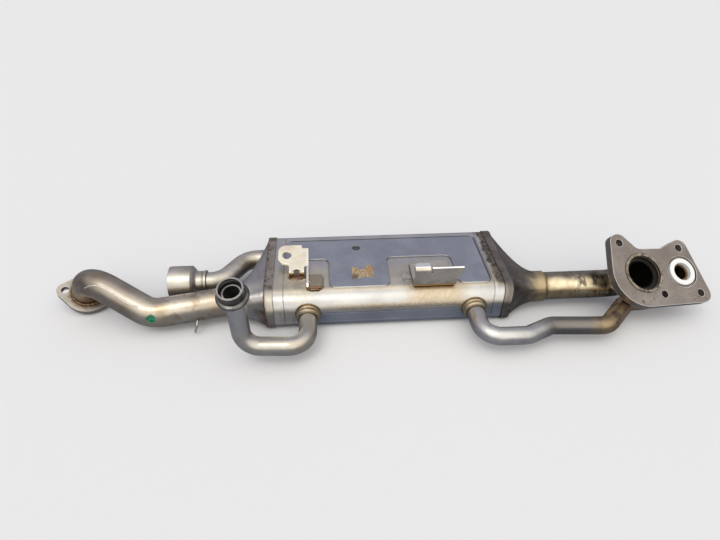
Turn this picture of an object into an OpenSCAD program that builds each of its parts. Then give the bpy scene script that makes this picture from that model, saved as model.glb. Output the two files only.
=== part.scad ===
// Exhaust gas recirculation cooler with welded gas and coolant pipework.
// Millimetres, +Z up, +X from the outlet end to the inlet end, resting on z = 0.

/* [Casing] */
// length of the two casing shells
casing_l = 268; // [200:1:400]
// width across the casing
casing_w = 120; // [90:1:160]
// height of the casing
casing_h = 49.8; // [40:0.2:80]
// sheet thickness of the shells
casing_t = 1.5; // [0.8:0.1:3]
// outer radius of the two upper long edges
top_r = 12; // [8:0.5:20]
// outer radius of the two lower long edges
bottom_r = 8; // [5:0.5:9]
// height of the lap seam above the casing bottom
seam_h = 9; // [8.5:0.5:12]
// thickness of the lower shell's inner lip
lip_t = 1.2; // [0.8:0.1:2]
// how far the lip reaches above the seam
lip_h = 3; // [2:0.5:4]
// how far the underside's pressed panel stands below the casing
base_rise = 1.5; // [1.3:0.1:3]
// distance from the casing's ends to the underside's panel
base_in_x = 16; // [8:1:30]
// distance from the casing's walls to the underside's panel
base_in_y = 18; // [12:1:30]
// distance from the casing's ends to the joggle lines
joggle_in = 15; // [10:0.5:16]
// width of a joggle line
joggle_w = 0.9; // [0.4:0.1:2]
// depth of a joggle line
joggle_depth = 0.4; // [0.2:0.1:0.8]

/* [Pressed panel] */
// how far the panel stands above the casing top
panel_rise = 1.5; // [0.5:0.1:3]
// distance from the casing's outlet end to the panel
panel_left = 16; // [8:1:30]
// distance from the casing's inlet end to the panel
panel_right = 17; // [8:1:30]
// distance from the back wall to the panel
panel_back = 18; // [14:1:30]
// distance from the front wall to the tongues
panel_front = 9.5; // [8:0.5:14]
// width of the tongue beside the inlet end
right_tongue = 38; // [25:1:60]
// distance from the eye bracket's foot to the centre tongue
tongue_gap = 7.5; // [3:0.5:15]
// width of the notch that holds the stay bracket's foot
notch_w = 78; // [60:1:90]
// distance from the casing's mid line to the notches' closed side
notch_y = 3; // [0:0.5:8]
// corner radius of the panel
panel_r = 8; // [3:0.5:12]
// diameter of the round dimple
dimple_d = 10; // [6:0.5:14]
// depth of the round dimple
dimple_depth = 1; // [0.4:0.1:1.4]
// dimple position from the casing centre
dimple_at = [-33, 23]; // [-60:1:60]
// depth of the crease pressed along the front wall
crease_depth = 0.5; // [0.2:0.1:0.8]
// height of the crease line above the casing bottom
crease_h = 20.5; // [14:0.5:24]
// length of the crease
crease_l = 150; // [80:1:160]

/* [Headers] */
// sheet thickness of the header plates
plate_t = 2; // [1:0.1:4]
// thickness of the rim around the casing
rim_t = 1.2; // [0.8:0.1:3]
// how far the rim reaches over the casing
rim_lap = 3; // [2:0.5:6]
// how far the rim reaches past the casing's end
rim_reach = 6; // [4:0.5:10]

/* [Tube core] */
// number of flat gas tubes
tube_count = 5; // [3:1:5]
// gap between the gas tubes and the lower shell's lips
core_gap = 2.3; // [0.5:0.1:12]
// height of a gas tube
tube_h = 6.4; // [4:0.2:7]
// wall of a gas tube
tube_t = 0.6; // [0.4:0.1:1]
// sheet thickness of the fins
fin_t = 0.4; // [0.2:0.1:0.6]
// pitch of the fin waves
fin_pitch = 8; // [5:0.5:12]

/* [End cones] */
// length of a cone between rim and neck
cone_l = 36; // [25:1:60]
// wall of the cones
cone_t = 1.5; // [1:0.1:3]
// clearance of a cone in its rim and of a pipe in a neck
cone_gap = 0.25; // [0.1:0.05:0.4]
// length of the inlet cone's neck
inlet_neck_l = 10; // [4:1:20]
// length of the outlet cone's neck
outlet_neck_l = 4; // [3:1:20]
// distance of the inlet neck's axis from the front wall
inlet_neck_y = 30; // [28:1:60]
// distance of the outlet neck's axis from the front wall
outlet_neck_y = 24; // [22:1:60]
// height of both necks above the casing's underside
neck_h = 24; // [20:0.5:30]

/* [Gas pipes] */
// outer diameter of the gas pipes
gas_od = 33; // [25:0.5:40]
// wall of the gas pipes
gas_t = 1.5; // [1:0.1:3]
// clearance between a pipe or tube and the hole it seats in
pipe_fit = 0.05; // [0.02:0.01:0.2]
// how far a gas pipe goes into its neck
gas_seat = 8; // [5:1:12]
// centre line radius of the inlet elbow
inlet_clr = 32; // [28:1:40]
// centre line radius of the outlet pipe's bends
outlet_clr = 33; // [28:1:36]
// distance from the inlet neck to the elbow's corner
inlet_run = 100.8; // [90:1:140]
// distance from the elbow's corner to the inlet flange's face
inlet_rise = 40.5; // [40:0.5:60]

/* [Inlet flange] */
// thickness of the inlet flange
flange_t = 10; // [8:0.5:14]
// lean of the inlet flange's face towards the front
flange_tilt = 35.6; // [0:0.1:60]
// turn of the inlet flange about the vertical
flange_turn = 13.2; // [-30:0.1:30]
// turn of the inlet flange in its own plane
flange_spin = -9; // [-30:0.5:30]
// distance between the gas port and the coolant port
port_gap = 50.4; // [47:0.2:60]
// bolt holes, for M8
bolt_d = 9; // [6:0.5:10]
// radius of the flange around the gas port
flange_r = 39.5; // [36:0.5:42]
// radius of the ears around the bolt holes
ear_r = 11; // [9:0.5:12]
// diameter of the gas port's counterbore
gas_bore = 40; // [36:0.5:42]
// depth of the gas port's counterbore
gas_bore_depth = 6; // [3:0.5:7]
// outer diameter of the gas port's seat ring
seat_od = 47; // [44:0.5:50]
// depth of the seat ring's groove
seat_depth = 2; // [1:0.2:3]
// how far the seat ring stands proud
seat_proud = 0.8; // [0.2:0.1:1.5]
// diameter of the coolant port's recess
recess_d = 38; // [34:0.5:39]
// depth of the coolant port's recess
recess_depth = 3; // [2:0.2:4]
// outer diameter of the coolant port's seal
seal_od = 32; // [28:0.5:33]
// inner diameter of the coolant port's seal
seal_id = 21.4; // [20.5:0.1:24]
// how far the seal stands proud
seal_proud = 0.6; // [0.2:0.1:1.5]

/* [Outlet flange] */
// thickness of the outlet flange
outlet_flange_t = 7; // [5:0.5:7.5]
// lean of the outlet flange's face towards the front
outlet_tilt = 24; // [0:0.5:40]
// turn of the outlet flange about the vertical
outlet_turn = 29; // [0:0.5:45]
// turn of the outlet flange in its own plane
outlet_spin = -28.5; // [-45:0.5:0]
// distance between the outlet flange's bolt holes
outlet_bolt_gap = 52; // [51:0.5:60]
// radius of the outlet flange around its pipe
outlet_hub_r = 26; // [24:0.5:27]
// radius of the outlet flange's ears
outlet_ear_r = 9.5; // [8:0.5:12]
// how far the outlet pipe goes into its flange
outlet_seat = 5; // [3:0.5:6]
// distance from the outlet pipe's last corner to the flange's face
outlet_drop = 40; // [39:0.5:50]
// distance of the outlet pipe's last corner past the casing's end
outlet_reach = 210.5; // [190:0.5:240]
// distance of the outlet pipe's last corner behind the front wall's plane
outlet_in = 45; // [38:0.5:60]
// height of the outlet pipe's last corner above its neck
outlet_lift = 29.8; // [24:0.2:36]
// straight length between the outlet neck and the pipe's first bend
outlet_lead = 6; // [5:0.5:12]
// distance from the outlet neck to the pipe's low corner
outlet_run = 88; // [80:1:100]
// how far the outlet pipe's low corner comes forward
outlet_bow = 13; // [8:0.5:18]

/* [Branch pipe] */
// outer diameter of the branch pipe
branch_od = 23; // [18:0.5:26]
// wall of the branch pipe
branch_t = 1.5; // [1:0.1:2.5]
// centre line radius of the branch pipe's bends
branch_clr = 25; // [22:1:30]
// distance of the branch pipe's root from the back wall
branch_in = 16; // [15:0.5:22]
// distance between the axes of the outlet neck and the branch socket
socket_off = 37.5; // [36:0.5:50]
// length of the branch pipe's straight at its socket
branch_lead = 27; // [20:0.5:40]
// distance between the branch pipe's two corners along the casing
branch_run = 27; // [22:0.5:40]
// length of the branch pipe's straight at its root
branch_tail = 28; // [24:0.5:34]
// outer diameter of the branch socket
socket_od = 40; // [34:0.5:44]
// bore of the branch socket
socket_id = 35; // [30:0.5:38]
// length of the branch socket's bore
socket_l = 30; // [20:1:40]
// wall of the socket's sleeve around the pipe
sleeve_t = 1.8; // [1:0.1:3]
// length of the socket's sleeve
sleeve_l = 12; // [8:1:16]

/* [Coolant tubes] */
// outer diameter of the coolant tubes
coolant_od = 20; // [16:0.5:22]
// wall of the coolant tubes
coolant_t = 1.5; // [1:0.1:2.5]
// centre line radius of the coolant tubes' bends
coolant_clr = 20; // [18:0.5:24]
// height of the coolant ports above the casing's underside
port_h = 22; // [21:0.5:26]
// distance of the coolant inlet from the casing's inlet end
coolant_in_x = 37; // [25:1:50]
// distance of the coolant outlet from the casing's outlet end
coolant_out_x = 41.5; // [25:0.5:60]
// how far the coolant tubes come out of the front wall
coolant_reach = 49; // [46:0.5:60]
// length of the coolant outlet tube's run along the casing
outlet_tube_run = 67; // [60:0.5:80]
// height of the coolant outlet tube's riser
riser_h = 53; // [45:0.5:70]
// lean of the riser towards the casing
riser_lean = 12; // [0:0.5:16]
// length of the coolant outlet tube's end above the riser
hose_end_h = 14; // [13:0.5:20]
// depth of the coolant inlet tube's straight under the inlet flange
inlet_tube_drop = 38; // [36:0.5:44]
// length of the collars
collar_l = 10; // [6:0.5:14]
// outer diameter of the collars' foot
collar_d = 27; // [25:0.5:29]
// outer diameter of the hose nipple
nipple_od = 27; // [24:0.5:30]
// bore of the hose nipple
nipple_id = 23.6; // [22.5:0.1:27]
// length of the hose nipple
nipple_l = 17; // [12:0.5:24]
// diameter of the nipple's bead
bead_d = 34; // [30:0.5:38]
// width of the nipple's bead
bead_l = 5; // [3:0.5:7]
// how far the tube goes into the nipple
nipple_seat = 9; // [6:0.5:11]

/* [Brackets] */
// sheet thickness of the brackets
bracket_t = 2.5; // [1.5:0.1:4]
// distance from the notch's inlet side to the stay bracket
stay_gap = 6; // [2:0.5:12]
// distance from the casing's front wall to the stay bracket
stay_in = 4.5; // [2:0.5:8]
// height of the stay bracket's wall
stay_h = 26; // [15:0.5:35]
// width of the stay bracket's foot
stay_w = 46; // [35:1:50]
// depth of the stay bracket's foot
stay_d = 47; // [35:1:48]
// how far the stay bracket's wall leans out to its top corner
stay_flare = 8; // [0:0.5:12]
// inner radius of the stay bracket's bends
stay_r = 2; // [1:0.5:4]
// width of the tab that is bent back from the stay bracket's wall
tab_w = 17; // [10:0.5:22]
// depth of the tab
tab_d = 11; // [8:0.5:16]
// corner radius of the stay bracket's foot
foot_r = 7; // [2:0.5:10]
// corner radius of the tab
tab_r = 5; // [2:0.5:6]
// width of the relief slot beside the tab
slot_w = 1.6; // [0.8:0.1:3]
// depth of the relief slot
slot_h = 7; // [5:0.5:10]
// distance from the casing's outlet end to the eye bracket
eye_in_x = 30; // [24:0.5:45]
// distance from the casing's front wall to the eye bracket
eye_in_y = 32; // [26:0.5:40]
// distance from the eye bracket's middle to its foot
eye_foot_x = 12; // [11.5:0.5:13]
// width of the eye bracket's foot
eye_foot_w = 17.5; // [12:0.5:22]
// depth of the eye bracket's foot
eye_foot_d = 24; // [16:0.5:25]
// height of the dart that stiffens the foot's bend
dart_h = 4; // [2:0.5:5]
// height of the eye bracket's front edge above the casing
eye_rise = 7; // [5:0.5:12]
// slope of the eye bracket's plate
eye_slope = 14; // [0:1:25]
// hole of the eye bracket
eye_d = 10.5; // [7:0.5:12]
// wire of the locating hook
hook_d = 2.6; // [1.5:0.1:4]

/* [Hidden] */
$fn = 64;
cut = 1;
bend_lap = 0.5;
bend_thin = 0.08;
corner_bite = 0.1;
tube_pitch = (casing_h - 2 * casing_t) / tube_count;
tube_w = casing_w - 2 * (casing_t + lip_t + core_gap);
end_x = casing_l / 2;
front_y = -casing_w / 2;
base_z = base_rise;
mid_z = base_z + casing_h / 2;
neck_z = base_z + neck_h;
port_z = base_z + port_h;
top_z = base_z + casing_h;
rim_x = end_x + rim_reach;
notch_x = end_x - panel_right - right_tongue;
neck_d = gas_od + 2 * cone_gap;
inlet_neck_x = rim_x + cone_l + inlet_neck_l;
outlet_neck_x = -(rim_x + cone_l + outlet_neck_l);
branch_y = -front_y - branch_in;
socket_y = front_y + outlet_neck_y + socket_off;

// Vectors
function unit(v) = v / norm(v);
function between(a, b) = acos(max(-1, min(1, unit(a) * unit(b))));
function face_normal(tilt, turn) = [sin(tilt) * sin(turn), -sin(tilt) * cos(turn), cos(tilt)];

// Outline with a rounded corner at each point, listed counter-clockwise
function arm(p, i, step) = unit(p[(i + step + len(p)) % len(p)] - p[i]);
function half_angle(p, i) = between(arm(p, i, -1), arm(p, i, 1)) / 2;
function touch(p, r, i, step) = p[i] + arm(p, i, step) * r[i] / tan(half_angle(p, i));
function corner(p, r, i) = p[i] + unit(arm(p, i, -1) + arm(p, i, 1)) * r[i] / sin(half_angle(p, i));
function is_outer(p, i) = cross(arm(p, i, 1), arm(p, i, -1)) > 0;

module rounded_outline(p, r) {
    difference() {
        union() {
            polygon([for (i = [0:len(p) - 1], step = [-1, 1]) touch(p, r, i, step)]);
            for (i = [0:len(p) - 1])
                if (is_outer(p, i))
                    translate(corner(p, r, i))
                        circle(r[i]);
        }
        for (i = [0:len(p) - 1])
            if (!is_outer(p, i))
                translate(corner(p, r, i))
                    circle(r[i]);
    }
}

// The same outline as one polygon, for plates whose corners lie close together
arc_step = 5;
function start_angle(v) = atan2(v[1], v[0]);
function corner_arc(p, r, i) =
    let (
        c = corner(p, r, i),
        from = start_angle(touch(p, r, i, -1) - c),
        turn = 180 - 2 * half_angle(p, i),
        way = is_outer(p, i) ? 1 : -1,
        n = ceil(turn / arc_step))
    [for (k = [0:n]) c + r[i] * [cos(from + way * turn * k / n), sin(from + way * turn * k / n)]];

module plate_outline(p, r) {
    polygon([for (i = [0:len(p) - 1]) each corner_arc(p, r, i)]);
}

// Bent tube along the corner points of its centre line
function leg(p, i) = p[i + 1] - p[i];
function bend(p, i) = (i < 1 || i > len(p) - 2) ? 0 : between(leg(p, i - 1), leg(p, i));
function setback(p, r, i) = r * tan(bend(p, i) / 2);
function across(a, b) = unit(b - unit(a) * (b * unit(a)));
function inward(p, i) = across(leg(p, i - 1), leg(p, i));
function carried(p, i) = inward(p, i) * cos(bend(p, i)) - unit(leg(p, i - 1)) * sin(bend(p, i));
function twist(p, i) = i < 2 ? 0 : atan2(
    cross(carried(p, i - 1), inward(p, i)) * unit(leg(p, i - 1)),
    carried(p, i - 1) * inward(p, i));

module bent_rod(p, r, rod_r, over, i = 0) {
    straight = norm(leg(p, i)) - setback(p, r, i) - setback(p, r, i + 1);
    before = i == 0 ? over : bend_lap;
    after = i == len(p) - 2 ? over : bend_lap;
    translate([0, 0, -before])
        cylinder(h = straight + before + after, r = rod_r);
    if (i < len(p) - 2)
        translate([0, 0, straight])
            rotate([0, 0, twist(p, i + 1)])
                translate([r, 0, 0]) {
                    rotate([90, 0, 180])
                        rotate_extrude(angle = bend(p, i + 1))
                            translate([r, 0])
                                circle(rod_r - bend_thin / 2);
                    rotate([0, bend(p, i + 1), 0])
                        translate([-r, 0, 0])
                            bent_rod(p, r, rod_r, over, i + 1);
                }
}

module from_start(p) {
    z = unit(leg(p, 0));
    x = inward(p, 1);
    y = cross(z, x);
    multmatrix([
        [x[0], y[0], z[0], p[0][0]],
        [x[1], y[1], z[1], p[0][1]],
        [x[2], y[2], z[2], p[0][2]]])
        children();
}

module bent_tube(p, r, od, wall) {
    from_start(p)
        difference() {
            bent_rod(p, r, od / 2, 0);
            bent_rod(p, r, od / 2 - wall, cut);
        }
}

module aim(at, along) {
    translate(at)
        rotate([0, acos(unit(along)[2]), atan2(along[1], along[0])])
            children();
}

// Casing section, seen along X: first coordinate is Y, second is Z
module casing_section(inset) {
    y = casing_w / 2 - inset;
    rounded_outline(
        [[-y, base_z + inset], [y, base_z + inset], [y, top_z - inset], [-y, top_z - inset]],
        [bottom_r - inset, bottom_r - inset, top_r - inset, top_r - inset]);
}

module along_x(x, l) {
    translate([x, 0, 0])
        rotate([90, 0, 90])
            linear_extrude(l)
                children();
}

module casing_wall() {
    along_x(-end_x, casing_l)
        difference() {
            casing_section(0);
            casing_section(casing_t);
        }
}

module joggles() {
    for (x = [-end_x + joggle_in, end_x - joggle_in])
        along_x(x - joggle_w / 2, joggle_w)
            difference() {
                casing_section(-panel_rise - cut);
                casing_section(joggle_depth);
            }
}

module slab(z, h) {
    translate([-casing_l, -casing_w, z])
        cube([2 * casing_l, 2 * casing_w, h]);
}

module pressed_panel() {
    left = -end_x + panel_left;
    right = end_x - panel_right;
    back = -front_y - panel_back;
    front = front_y + panel_front;
    tongue = eye_x + eye_foot_x + eye_foot_w + tongue_gap;
    p = [
        [left, notch_y], [tongue, notch_y], [tongue, front], [notch_x - notch_w, front],
        [notch_x - notch_w, notch_y], [notch_x, notch_y],
        [notch_x, front], [right, front], [right, back], [left, back]];
    translate([0, 0, top_z - 2 * casing_t])
        linear_extrude(2 * casing_t + panel_rise)
            rounded_outline(p, [for (v = p) panel_r]);
}

module port_holes() {
    for (x = [coolant_in_at[0], coolant_out_at[0]])
        translate([x, front_y + 2 * casing_t, port_z])
            rotate([90, 0, 0])
                cylinder(h = 4 * casing_t, d = coolant_od + 2 * pipe_fit);
}

module upper_shell() {
    color("#a9abb3")
        difference() {
            union() {
                intersection() {
                    casing_wall();
                    slab(base_z + seam_h, casing_h);
                }
                intersection() {
                    pressed_panel();
                    slab(top_z - casing_t, 2 * casing_t + panel_rise);
                }
            }
            port_holes();
            joggles();
            translate([dimple_at[0], dimple_at[1], top_z + panel_rise - dimple_depth])
                cylinder(h = dimple_depth + cut, d = dimple_d);
            translate([-crease_l / 2, front_y - cut, base_z + crease_h])
                cube([crease_l, crease_depth + cut, 2 * crease_depth]);
        }
}

module base_panel(inset) {
    x = end_x - base_in_x - inset;
    y = casing_w / 2 - base_in_y - inset;
    r = panel_r - inset;
    linear_extrude(base_rise + casing_t)
        rounded_outline([[-x, -y], [x, -y], [x, y], [-x, y]], [r, r, r, r]);
}

module lower_shell() {
    lip_y = casing_w / 2 - casing_t - lip_t / 2;
    color("#9a9ca6")
        union() {
            difference() {
                union() {
                    intersection() {
                        casing_wall();
                        slab(base_z - cut, seam_h + cut);
                    }
                    base_panel(0);
                }
                translate([0, 0, casing_t])
                    base_panel(casing_t);
            }
            for (side = [-1, 1])
                translate([-end_x, side * lip_y - lip_t / 2, base_z + bottom_r / 2])
                    cube([casing_l, lip_t, seam_h - bottom_r / 2 + lip_h]);
        }
}

// Flat gas tubes and their fins
function tube_z(i) = mid_z + (i - (tube_count - 1) / 2) * tube_pitch;
tube_end = end_x + plate_t;
fin_w = tube_w - tube_h;

module flat_section(w, h) {
    square([w - h, h], center = true);
    for (side = [-1, 1])
        translate([side * (w - h) / 2, 0])
            circle(d = h);
}

module at_tube(i) {
    if (i < tube_count)
        along_x(-tube_end, 2 * tube_end)
            translate([0, tube_z(i)])
                children();
}

module gas_tube(i) {
    color("#b5b2aa")
        at_tube(i)
            difference() {
                flat_section(tube_w, tube_h);
                flat_section(tube_w - 2 * tube_t, tube_h - 2 * tube_t);
            }
}

function fin_wave(low, high) = [
    for (k = [0:floor(fin_w / fin_pitch) - 1], s = [0:3])
        [-fin_w / 2 + (k + [0, 0.3, 0.5, 0.8][s]) * fin_pitch, s < 2 ? low : high]];

module gas_fin(i) {
    inner = tube_h / 2 - tube_t;
    below = fin_wave(-inner, inner - fin_t);
    above = [for (v = below) v + [0, fin_t]];
    color("#8f8c85")
        at_tube(i)
            polygon(concat(below, [for (k = [len(above) - 1:-1:0]) above[k]]));
}

module gas_tube_1() gas_tube(0);
module gas_tube_2() gas_tube(1);
module gas_tube_3() gas_tube(2);
module gas_tube_4() gas_tube(3);
module gas_tube_5() gas_tube(4);
module gas_fin_1() gas_fin(0);
module gas_fin_2() gas_fin(1);
module gas_fin_3() gas_fin(2);
module gas_fin_4() gas_fin(3);
module gas_fin_5() gas_fin(4);

// Header: a tube plate against the casing's end, with a rim that laps over the casing
module header() {
    difference() {
        along_x(end_x - rim_lap, rim_lap + rim_reach)
            casing_section(-rim_t);
        along_x(end_x - rim_lap - cut, rim_lap + cut)
            casing_section(0);
        along_x(end_x + plate_t, rim_reach)
            casing_section(0);
        for (i = [0:tube_count - 1])
            along_x(end_x - cut, plate_t + 2 * cut)
                translate([0, tube_z(i)])
                    flat_section(tube_w, tube_h);
    }
}

module inlet_header() {
    color("#6f675f")
        header();
}

module outlet_header() {
    color("#8a8078")
        mirror([1, 0, 0])
            header();
}

// Cone: lofted from the casing's section to a round neck
corner_steps = 7;
long_steps = 7;
short_steps = 3;
loft_steps = 10;

function arc_points(c, r, from, n) = [
    for (k = [0:n]) c + r * [cos(from + 90 * k / n), sin(from + 90 * k / n)]];
function spread(a, b, n) = [for (k = [1:n]) a + (b - a) * k / (n + 1)];
function mouth_corner(y, z, r, q) = arc_points(
    [q == 0 || q == 3 ? y - r : r - y, q < 2 ? z - r : r - z], r, 90 * q, corner_steps);
function mouth(inset) =
    let (
        y = casing_w / 2 - inset,
        z = casing_h / 2 - inset,
        rt = top_r - inset,
        rb = bottom_r - inset,
        c = [for (q = [0:3]) mouth_corner(y, z, q < 2 ? rt : rb, q)])
    concat(
        c[0], spread(c[0][corner_steps], c[1][0], long_steps),
        c[1], spread(c[1][corner_steps], c[2][0], short_steps),
        c[2], spread(c[2][corner_steps], c[3][0], long_steps),
        c[3], spread(c[3][corner_steps], c[0][0], short_steps));
function around(v) = atan2(v[1] / casing_h, v[0] / casing_w);
function blend(t) = 1 - pow(1 - t, 1.8);
function on_neck(v, r, neck_y) = [front_y + neck_y, neck_z] + r * [cos(around(v)), sin(around(v))];
function loft_ring(inset, r, neck_y, t) = [
    for (v = mouth(inset))
        (v + [0, mid_z]) * (1 - blend(t)) + on_neck(v, r, neck_y) * blend(t)];
function cone_rings(inset, r, neck_y, neck_l) = concat(
    [[tube_end, loft_ring(inset, r, neck_y, 0)]],
    [for (k = [0:loft_steps]) [rim_x + cone_l * k / loft_steps, loft_ring(inset, r, neck_y, k / loft_steps)]],
    [[rim_x + cone_l + neck_l, loft_ring(inset, r, neck_y, 1)]]);
function skin_points(rings) = [for (g = rings, v = g[1]) [g[0], v[0], v[1]]];
function skin_faces(rings, n, first, flip) = [
    for (j = [0:rings - 2], i = [0:n - 1])
        let (a = first + j * n + i, b = first + j * n + (i + 1) % n, c = b + n, d = a + n)
        each flip ? [[a, b, c], [a, c, d]] : [[a, c, b], [a, d, c]]];
function lip_faces(n, outer, inner, flip) = [
    for (i = [0:n - 1])
        let (a = outer + i, b = outer + (i + 1) % n, c = inner + (i + 1) % n, d = inner + i)
        each flip ? [[a, b, c], [a, c, d]] : [[a, c, b], [a, d, c]]];

module cone(neck_y, neck_l) {
    outer = cone_rings(cone_gap, neck_d / 2 + cone_t, neck_y, neck_l);
    inner = cone_rings(cone_gap + cone_t, neck_d / 2, neck_y, neck_l);
    n = len(outer[0][1]);
    m = len(outer);
    polyhedron(
        concat(skin_points(outer), skin_points(inner)),
        concat(
            skin_faces(m, n, 0, false),
            skin_faces(m, n, m * n, true),
            lip_faces(n, 0, m * n, true),
            lip_faces(n, (m - 1) * n, (2 * m - 1) * n, false)));
}

module inlet_cone() {
    color("#5d564e")
        cone(inlet_neck_y, inlet_neck_l);
}

module outlet_cone() {
    color("#a39c90")
        difference() {
            mirror([1, 0, 0])
                cone(outlet_neck_y, outlet_neck_l);
            translate([-rim_x - cone_l, branch_y, neck_z])
                rotate([0, 90, 0])
                    cylinder(h = cone_l + rim_reach - plate_t - cut, d = branch_od + 2 * cone_gap);
        }
}

// Inlet gas pipe and flange
inlet_normal = face_normal(flange_tilt, flange_turn);
inlet_corner = [inlet_neck_x + inlet_run, front_y + inlet_neck_y, neck_z];
inlet_face = inlet_corner + inlet_rise * inlet_normal;

module inlet_pipe() {
    color("#8d7f63")
        bent_tube(
            [
                [inlet_neck_x - gas_seat, front_y + inlet_neck_y, neck_z],
                inlet_corner,
                inlet_face - gas_bore_depth * inlet_normal],
            inlet_clr, gas_od, gas_t);
}

module at_inlet_flange() {
    translate(inlet_face)
        rotate([flange_tilt, 0, flange_turn])
            rotate([0, 0, flange_spin])
                children();
}

inlet_bolts = [[-23, 36.5], [54, 29], [20, -26], [68, -26]];
inlet_outline = [[-46, -41.5], [84, -36.9], [62, 43.8], [30, 29], [-1.6, 29], [-30.7, 61.4]];

module inlet_flange() {
    color("#857a70")
        at_inlet_flange()
            difference() {
                translate([0, 0, -flange_t])
                    linear_extrude(flange_t)
                        plate_outline(inlet_outline, [flange_r, ear_r, ear_r, ear_r, ear_r, ear_r]);
                for (b = inlet_bolts)
                    translate([b[0], b[1], -flange_t - cut])
                        cylinder(h = flange_t + 2 * cut, d = bolt_d);
                translate([0, 0, -flange_t - cut])
                    cylinder(h = flange_t + 2 * cut, d = gas_od + 2 * pipe_fit);
                translate([0, 0, -gas_bore_depth])
                    cylinder(h = gas_bore_depth + cut, d = gas_bore);
                translate([0, 0, -seat_depth])
                    cylinder(h = seat_depth + cut, d = seat_od);
                translate([port_gap, 0, -flange_t - cut])
                    cylinder(h = flange_t + 2 * cut, d = coolant_od + 2 * pipe_fit);
                translate([port_gap, 0, -recess_depth])
                    cylinder(h = recess_depth + cut, d = recess_d);
            }
}

module ring(od, id, h) {
    difference() {
        cylinder(h = h, d = od);
        translate([0, 0, -cut])
            cylinder(h = h + 2 * cut, d = id);
    }
}

module gas_seat_ring() {
    color("#b9a888")
        at_inlet_flange()
            translate([0, 0, -seat_depth])
                ring(seat_od, gas_bore + 1, seat_depth + seat_proud);
}

module coolant_seal() {
    color("#f2f2f0")
        at_inlet_flange()
            translate([port_gap, 0, -recess_depth])
                ring(seal_od, seal_id, recess_depth + seal_proud);
}

// Outlet gas pipe and flange
outlet_normal = face_normal(outlet_tilt, outlet_turn);
outlet_corner = [-end_x - outlet_reach, front_y + outlet_in, neck_z + outlet_lift];
outlet_face = outlet_corner - outlet_drop * outlet_normal;
outlet_path = [
    [outlet_neck_x + gas_seat, front_y + outlet_neck_y, neck_z],
    [outlet_neck_x - outlet_lead, front_y + outlet_neck_y, neck_z],
    [outlet_neck_x - outlet_run, front_y + outlet_neck_y - outlet_bow, neck_z - 3],
    outlet_corner,
    outlet_face - outlet_seat * outlet_normal];

module outlet_pipe() {
    color("#b0a692")
        bent_tube(outlet_path, outlet_clr, gas_od, gas_t);
}

module outlet_flange_outline() {
    ear = outlet_bolt_gap / 2;
    a = acos((outlet_hub_r - outlet_ear_r) / ear);
    hub = outlet_hub_r * [cos(a), sin(a)];
    tip = [ear, 0] + outlet_ear_r * [cos(a), sin(a)];
    circle(outlet_hub_r);
    for (s = [-1, 1])
        translate([s * ear, 0])
            circle(outlet_ear_r);
    polygon([
        tip, hub, [-hub[0], hub[1]], [-tip[0], tip[1]],
        -tip, -hub, [hub[0], -hub[1]], [tip[0], -tip[1]]]);
}

module outlet_flange() {
    color("#9c9486")
        translate(outlet_face)
            rotate([outlet_tilt, 0, outlet_turn])
                rotate([0, 0, outlet_spin])
                    translate([0, 0, -outlet_flange_t])
                        difference() {
                            linear_extrude(outlet_flange_t)
                                outlet_flange_outline();
                            translate([0, 0, -cut])
                                cylinder(h = outlet_flange_t + 2 * cut, d = gas_od + 2 * pipe_fit);
                            for (s = [-1, 1])
                                translate([s * outlet_bolt_gap / 2, 0, -cut])
                                    cylinder(h = outlet_flange_t + 2 * cut, d = bolt_d);
                        }
}

// Locating hook: a bent wire on the outlet pipe's straight run
hook_root = outlet_path[1] + 0.38 * leg(outlet_path, 1);
hook_out = unit([0, -0.86, -0.5]);
hook_knee = hook_root + (gas_od / 2 + 6) * hook_out;

module locating_hook() {
    color("#9b938a")
        difference() {
            from_start([hook_root, hook_knee, hook_knee + [-3, -2, -9]])
                bent_rod([hook_root, hook_knee, hook_knee + [-3, -2, -9]], hook_d, hook_d / 2, 0);
            aim(outlet_path[1], leg(outlet_path, 1))
                cylinder(h = norm(leg(outlet_path, 1)), d = gas_od);
        }
}

// Branch pipe and socket
branch_end_x = -rim_x - cut;
branch_path = [
    [branch_end_x - branch_tail - branch_run - branch_lead, socket_y, neck_z],
    [branch_end_x - branch_tail - branch_run, socket_y, neck_z],
    [branch_end_x - branch_tail, branch_y, neck_z],
    [branch_end_x, branch_y, neck_z]];

module branch_pipe() {
    color("#b3a994")
        bent_tube(branch_path, branch_clr, branch_od, branch_t);
}

module branch_socket() {
    bore_r = branch_od / 2 + pipe_fit;
    sleeve_r = bore_r + sleeve_t;
    wall = (socket_od - socket_id) / 2;
    color("#b8b0a0")
        aim(branch_path[0] + [sleeve_l - 2, 0, 0], [-1, 0, 0])
            rotate_extrude()
                polygon([
                    [bore_r, 0], [sleeve_r + 0.8, 0], [sleeve_r + 0.8, 2.2], [sleeve_r - 0.6, 2.8],
                    [sleeve_r - 0.6, 4.2], [sleeve_r, 4.8], [sleeve_r, sleeve_l - 1],
                    [sleeve_r + 1, sleeve_l], [socket_od / 2 - 2.5, sleeve_l + 2],
                    [socket_od / 2, sleeve_l + 4.5], [socket_od / 2, sleeve_l + socket_l],
                    [socket_id / 2, sleeve_l + socket_l],
                    [socket_id / 2, sleeve_l + 2 + wall], [bore_r, sleeve_l + wall]]);
}

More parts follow.
